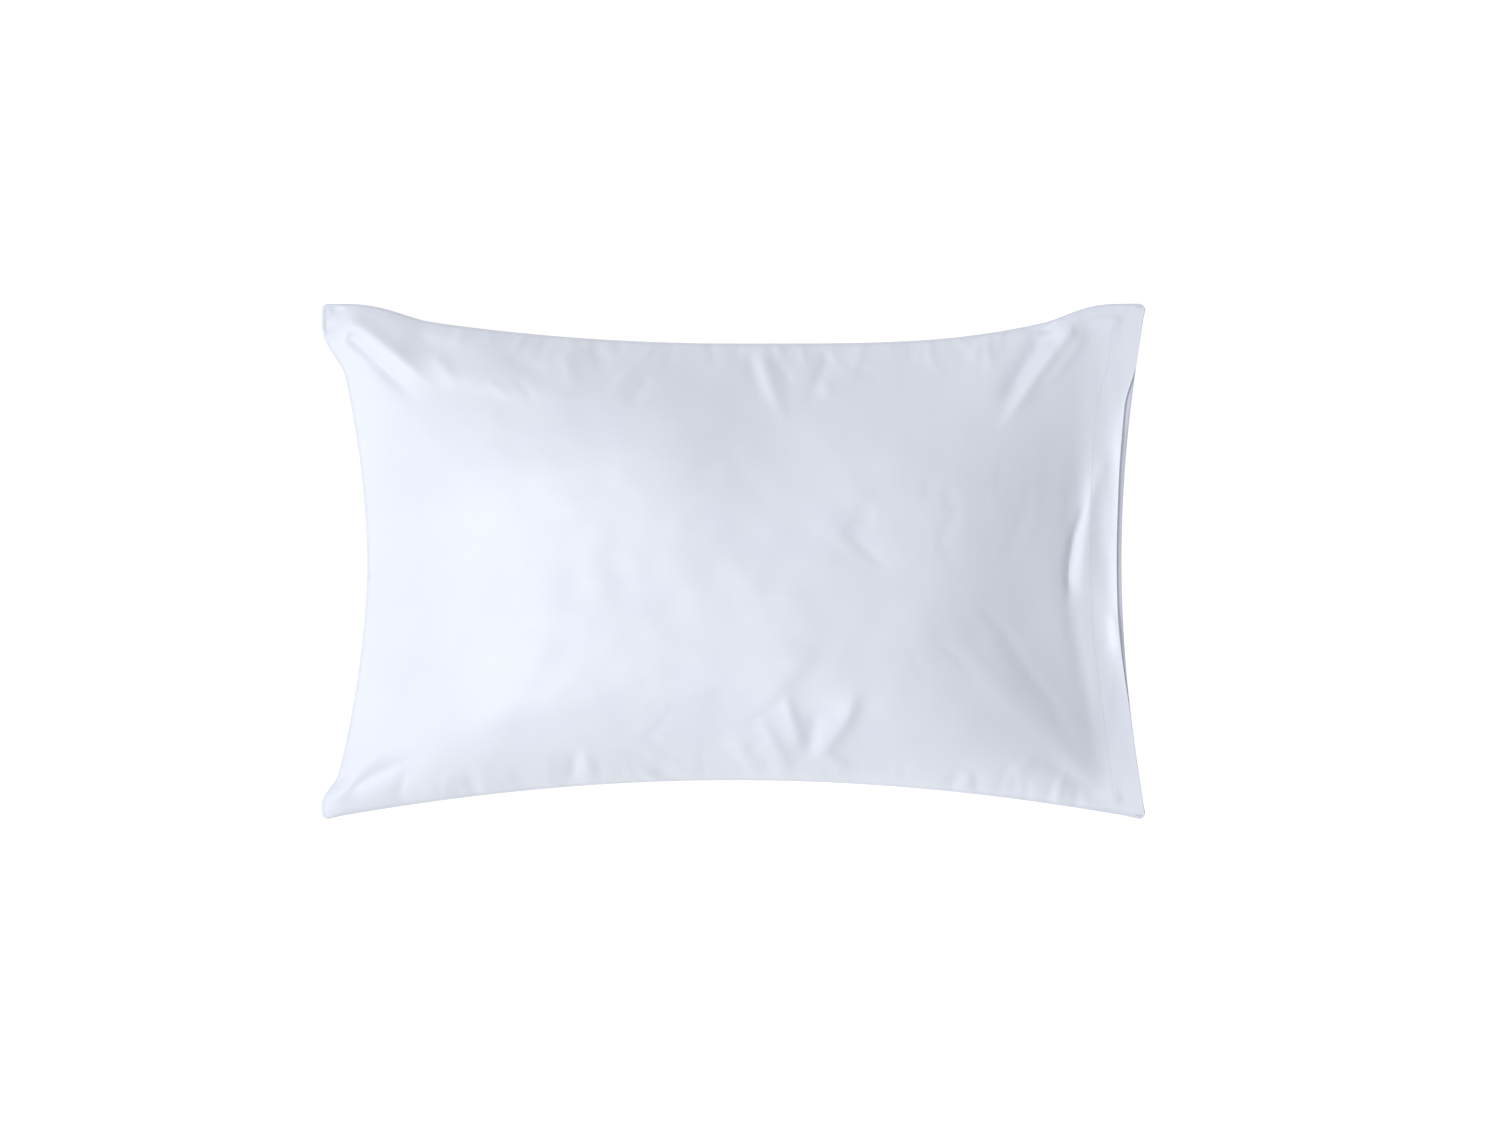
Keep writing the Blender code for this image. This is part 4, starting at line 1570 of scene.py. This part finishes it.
@dataclass
class PillowInsert:
    """The pillow inside: fibre in a piped ticking cover with a closing seam and a label."""

    case: Pillowcase
    inset: float = 14 * MM
    mouth_inset: float = 28 * MM
    corner_radius: float = 26 * MM
    ticking: float = 0.6 * MM
    piping_radius: float = 1.5 * MM
    clearance: float = 3.8 * MM
    cell: float = 3.6 * MM
    swells: dict[int, np.ndarray] = field(default_factory=dict)

    def __post_init__(self) -> None:
        """Works out how far the top and the bottom swell, once, on an even grid."""
        u, v = np.meshgrid(np.linspace(-1, 1, 241), np.linspace(-1, 1, 161), indexing="ij")
        self.swells = {facing: self.swelling(u, v, facing)[..., None] for facing in (1, -1)}

    def build(self) -> list[bpy.types.Object]:
        """Makes all six pieces and returns them.

        Returns:
            The pieces.
        """
        top, bottom = self.panel(1), self.panel(-1)
        made = [top, bottom, self.piping(), self.closing_stitch(), self.label(), self.fibre()]
        return made

    def part(self, node: str, finish: Finish = TICKING, slot: str = "ticking_cotton") -> Part:
        """A part of the insert."""
        return Part(node, "insert", finish, slot)

    def limits(self) -> tuple[float, float, float]:
        """The insert's ends and sides in the case's flat coordinates.

        Returns:
            Its low s, its high s and its half width.
        """
        form = self.case.surface.form
        low, high = -form.half_length + self.inset, form.half_length - self.mouth_inset
        return low, high, form.half_width - self.inset

    def placed(self, u: np.ndarray, v: np.ndarray) -> Grids:
        """Flat case coordinates of a share -1..1 of the insert's length and width, corners rounded.

        Args:
            u: Shares of the insert's length, -1..1.
            v: Shares of its width, -1..1.

        Returns:
            s and t.
        """
        low, high, side = self.limits()
        half = (high - low) / 2
        s, t = round_corners(u * half, v * side, half, side, self.corner_radius)
        return s + (low + high) / 2, t

    def rim_inset(self, u: np.ndarray, v: np.ndarray) -> np.ndarray:
        """The distance from the insert's rim."""
        low, high, side = self.limits()
        return np.minimum((1 - np.abs(u)) * (high - low) / 2, (1 - np.abs(v)) * side)

    def swelling(self, u: np.ndarray, v: np.ndarray, facing: int) -> np.ndarray:
        """How far the top, facing 1, or the bottom, facing -1, swells from the seam plane.

        It is the case's own swelling less the room for the cloths between, evened out, with lumps of
        fibre and the ticking's folds on it, and it gives way wherever the case holds it lower.

        Args:
            u: Shares of the insert's length, -1..1.
            v: Shares of its width, -1..1.
            facing: 1 for the top, -1 for the bottom.

        Returns:
            The swelling, at least as low as the case allows.
        """
        surface = self.case.surface
        s, t = self.placed(u, v)
        points = surface.front(s, t) if facing > 0 else surface.back(s, t)
        slope = np.maximum(np.abs(surface_normals(points)[..., 2]), 0.35)
        gap = self.clearance if facing > 0 else self.clearance - 1 * MM
        room = facing * (points[..., 2] - surface.form.seam_height) - gap / slope
        lumps = 1.1 * MM * smooth_noise(u.shape, 40 + facing, 90)
        relief = lumps + 0.3 * MM * smooth_noise(u.shape, 50 + facing, 8)
        for fold in INSERT_FOLDS:
            relief = relief + fold.relief(points[..., 0], facing * points[..., 1])
        below = (4.6 + 3.2 * smoothstep((u - 0.6) / 0.25)) * MM
        return soft_minimum(smoothed(room, 40) + relief - below, room, 1 * MM)

    def face(self, u: np.ndarray, v: np.ndarray, facing: int) -> np.ndarray:
        """The points of the top, facing 1, or of the bottom, facing -1.

        From its rim the ticking turns up round the piping, then along a quarter ellipse to its swelling.

        Args:
            u: Shares of the insert's length, -1..1.
            v: Shares of its width, -1..1.
            facing: 1 for the top, -1 for the bottom.

        Returns:
            The points.
        """
        form = self.case.surface.form
        x, y = form.plan(*self.placed(u, v))
        rim = self.rim_inset(u, v)
        r = self.piping_radius
        edge = np.sqrt(np.clip(r**2 - (r - np.clip(rim, 0, r)) ** 2, 0, None))
        plump = np.sqrt(1 - (1 - np.clip(rim / (34 * MM), 0, 1)) ** 2)
        swell = soft_floor(sample_cubic(self.swells[facing], u, v)[..., 0], 1 * MM) * plump
        gathered = 0.35 * MM * self.gathering(u, v) * np.exp(-rim / (7 * MM)) * smoothstep(rim / (3 * MM))
        return np.stack([x, y, form.seam_height + facing * (0.1 * MM + edge + swell + gathered)], axis=-1)

    def gathering(self, u: np.ndarray, v: np.ndarray) -> np.ndarray:
        """Ripples along the piping: waves round the rim, which the seam draws up.

        Args:
            u: Shares of the insert's length, -1..1.
            v: Shares of its width, -1..1.

        Returns:
            The ripples, about -2..2.
        """
        low, high, side = self.limits()
        across = (1 - np.abs(v)) * side < (1 - np.abs(u)) * (high - low) / 2
        place = np.where(across, u * (high - low) / 2, v * side) / MM
        return np.sin(place / 2.4) + np.sin(place / 4.1 + 2.0) * np.sin(place / 17)

    def shares(self, cell: float, first: float) -> Grids:
        """A grid over the insert, with lines close together at its rim.

        Args:
            cell: The widest spacing.
            first: The spacing at the rim.

        Returns:
            Shares of its length and of its width, each -1..1.
        """
        low, high, side = self.limits()
        half = (high - low) / 2
        u = graded_lines(-half, half, cell, first) / half
        v = graded_lines(-side, side, cell, first) / side
        return np.meshgrid(u, v, indexing="ij")

    def panel(self, facing: int) -> bpy.types.Object:
        """One of the ticking's two panels.

        Args:
            facing: 1 for the top, -1 for the bottom.

        Returns:
            The piece.
        """
        u, v = self.shares(self.cell, 0.5 * MM)
        outer, cloth, edge = self.face(u, v, facing), self.placed(u, v), self.rim_inset(u, v)
        name = "top" if facing > 0 else "bottom"
        piece = cloth_slab(f"ticking_{name}_cloth", outer, self.ticking, facing, cloth, edge)
        return self.part(f"ticking_{name}_panel").dress(piece)

    def piping(self) -> bpy.types.Object:
        """The piping: a covered cord in the seam between the two panels, all the way round.

        Returns:
            The piece.
        """
        form = self.case.surface.form
        full = np.linspace(-1, 1, 220)[:-1]
        one = np.ones_like(full)
        u, v = np.concatenate([full, one, -full, -one]), np.concatenate([-one, full, one, -full])
        x, y = form.plan(*self.placed(u, v))
        path = np.stack([x, y, np.full_like(x, form.seam_height)], axis=-1)
        outward = unit(np.cross(np.roll(path, -1, axis=0) - np.roll(path, 1, axis=0), [0.0, 0.0, 1.0]))
        path = path + outward * (self.piping_radius + 0.1 * MM)
        piece = ring_tube("ticking_piping_cord", path, self.piping_radius, 12)
        return self.part("ticking_piping", PIPING, "piping_cotton").dress(piece)

    def on_top(self, u: np.ndarray, v: np.ndarray) -> Grids:
        """Points of the top and their normals at shares of its length and width, given row by row."""
        here = self.face(u, v, 1)
        return here, surface_normals(here)

    def closing_stitch(self) -> bpy.types.Object:
        """The seam the pillow was closed with after filling, along its end on the top.

        Returns:
            The piece.
        """
        low, high, side = self.limits()
        reach, step, sunk, bow, radius = 119 * MM, 3.4 * MM, 0.05 * MM, 0.35 * MM, 0.3 * MM
        v = np.arange(-reach, reach, step) / side
        u = -1 + np.array([2.4, 3.0, 3.6]) * MM * 2 / (high - low)
        points, normals = self.on_top(*np.meshgrid(u, v, indexing="ij"))
        here, normal = points[1], normals[1][:-1]
        starts = here[:-1] - normal * sunk
        ends = here[:-1] + (here[1:] - here[:-1]) * 0.8 - normal * sunk
        piece = stitch_row("ticking_closing_thread", starts, ends, normal * bow, radius)
        return self.part("ticking_closing_stitch", TICKING_THREAD, "sewing_thread").dress(piece)

    def label(self) -> bpy.types.Object:
        """A blank satin label sewn on the top near the mouth.

        Returns:
            The piece.
        """
        low, high, side = self.limits()
        half = (high - low) / 2
        along = graded_lines(half - 50 * MM, half - 8 * MM, 1.6 * MM, 0.5 * MM) / half
        across = graded_lines(-15 * MM, 15 * MM, 1.6 * MM, 0.5 * MM) / side
        u, v = np.meshgrid(along, across, indexing="ij")
        points, normal = self.on_top(u, v)
        edge = np.full_like(u, FAR_FROM_SEAM)
        outer = points + normal * 0.55 * MM
        piece = cloth_slab("ticking_label_ribbon", outer, 0.4 * MM, 1, self.placed(u, v), edge)
        return self.part("ticking_label", RIBBON, "label_satin").dress(piece)

    def fibre(self) -> bpy.types.Object:
        """The fill: a closed lump inside the ticking, its top and bottom meeting at its rim.

        Half its thickness is half the ticking's, less a margin, times a quarter circle at the rim.

        Returns:
            The piece.
        """
        low, high, side = self.limits()
        rim_gap, margin = 8 * MM, 1.8 * MM
        scale_u, scale_v = 1 - 2 * rim_gap / (high - low), 1 - rim_gap / side
        u, v = self.shares(6 * MM, 1 * MM)
        top, bottom = (self.face(u * scale_u, v * scale_v, facing) for facing in (1, -1))
        middle, half = (top + bottom) / 2, (top[..., 2] - bottom[..., 2]) / 2 - margin
        rim = np.clip(self.rim_inset(u, v) / (12 * MM), 0, 1)
        lumps = 0.8 * MM * np.abs(smooth_noise(u.shape, 31, 3))
        half = np.maximum(half - lumps, 0.3 * MM) * np.sqrt(1 - (1 - rim) ** 2)
        shell = ClosedShell(u.shape)
        rise = np.stack([0 * half, 0 * half, half], axis=-1)
        points = shell.points(middle + rise, middle - rise)
        edge = np.full(len(points), FAR_FROM_SEAM)
        piece = mesh_object("fibre_fill_batt", points, shell.faces(), points[:, :2], edge)
        return self.part("fibre_fill", FibreBatt(), "polyester_fibre").dress(piece)


# ---------------------------------------------------------------------------------------------
# The studio
# ---------------------------------------------------------------------------------------------


@dataclass(frozen=True)
class LitTable:
    """A white acrylic table lit from below, so the shadows on it stay faint."""

    name: str = "lit_white_acrylic"
    tone: str = "8A8A8A"
    glow: float = 0.86

    def material(self) -> bpy.types.Material:
        """Builds the table's material.

        Returns:
            The material.
        """
        made, _, shader = new_material(self.name)
        shader.inputs["Base Color"].default_value = linear(self.tone)
        shader.inputs["Roughness"].default_value = 0.95
        shader.inputs["Emission Color"].default_value = (1, 1, 1, 1)
        shader.inputs["Emission Strength"].default_value = self.glow
        return made


@dataclass
class Studio:
    """The floor, a soft key light high on the left, an even white surround and the camera above."""

    camera_place: tuple[float, float, float] = (0.0145, -0.001, 3.183)
    lens_mm: float = 85
    key_elevation: float = 57
    key_turn: float = 10
    key_distance: float = 10
    key_size: float = 3.8
    key_power: float = 650
    surround: float = 0.515

    def build(self) -> None:
        """Places everything and sets the camera."""
        scene = bpy.context.scene
        scene.view_settings.view_transform = "Standard"
        self.floor()
        self.key()
        world = bpy.data.worlds.new("studio_surround")
        world.use_nodes = True
        background = world.node_tree.nodes["Background"]
        background.inputs["Color"].default_value = (0.96, 0.98, 1.0, 1.0)
        background.inputs["Strength"].default_value = self.surround
        scene.world = world
        camera = bpy.data.objects.new("camera", bpy.data.cameras.new("camera"))
        camera.data.lens = self.lens_mm
        camera.location = self.camera_place
        scene.collection.objects.link(camera)
        scene.camera = camera

    def floor(self) -> None:
        """Lays a wide floor just under the pillow."""
        half, level = 6.0, -0.2 * MM
        corners = [(-half, -half, level), (half, -half, level), (half, half, level), (-half, half, level)]
        mesh = bpy.data.meshes.new("floor")
        mesh.from_pydata(corners, [], [(0, 1, 2, 3)])
        floor = bpy.data.objects.new("floor", mesh)
        floor.data.materials.append(LitTable().material())
        bpy.context.scene.collection.objects.link(floor)

    def key(self) -> None:
        """Hangs the key light, facing the pillow's middle."""
        light = bpy.data.lights.new("key", "AREA")
        light.shape = "DISK"
        light.size = self.key_size
        light.energy = self.key_power
        lamp = bpy.data.objects.new("key", light)
        up, turn = math.radians(self.key_elevation), math.radians(self.key_turn)
        toward = Vector((-math.cos(up) * math.cos(turn), -math.cos(up) * math.sin(turn), math.sin(up)))
        lamp.location = Vector((0, 0, 0.1)) + toward * self.key_distance
        lamp.rotation_euler = toward.to_track_quat("Z", "Y").to_euler()
        bpy.context.scene.collection.objects.link(lamp)


# ---------------------------------------------------------------------------------------------
# The scene
# ---------------------------------------------------------------------------------------------


def main() -> None:
    """Builds the pillowcase and the pillow on the CAD's own sizes, then the studio round them."""
    logging.basicConfig(level=logging.INFO, format="%(message)s")
    low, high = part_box("case_back_panel")
    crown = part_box("case_front_panel")[1].z
    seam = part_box("case_end_seam")
    level = (seam[0].z + seam[1].z) / 2
    half_length, half_width = (high.x - low.x) / 2, (high.y - low.y) / 2
    form = CaseForm(half_length, half_width, level, crown - level - FOLD_ROOM, level + PRESSED_FLAT)
    front_relief, back_relief = ClothRun(form).relief()
    gathered = tuple(fold for row in GATHERS for fold in row.folds(form))
    surface = FilledCase(form, front_relief, back_relief, FRONT_FOLDS + gathered, BACK_FOLDS + gathered[::-1])
    case = Pillowcase(surface)
    case.build()
    PillowInsert(case).build()
    Studio().build()


if __name__ == "__main__":
    main()
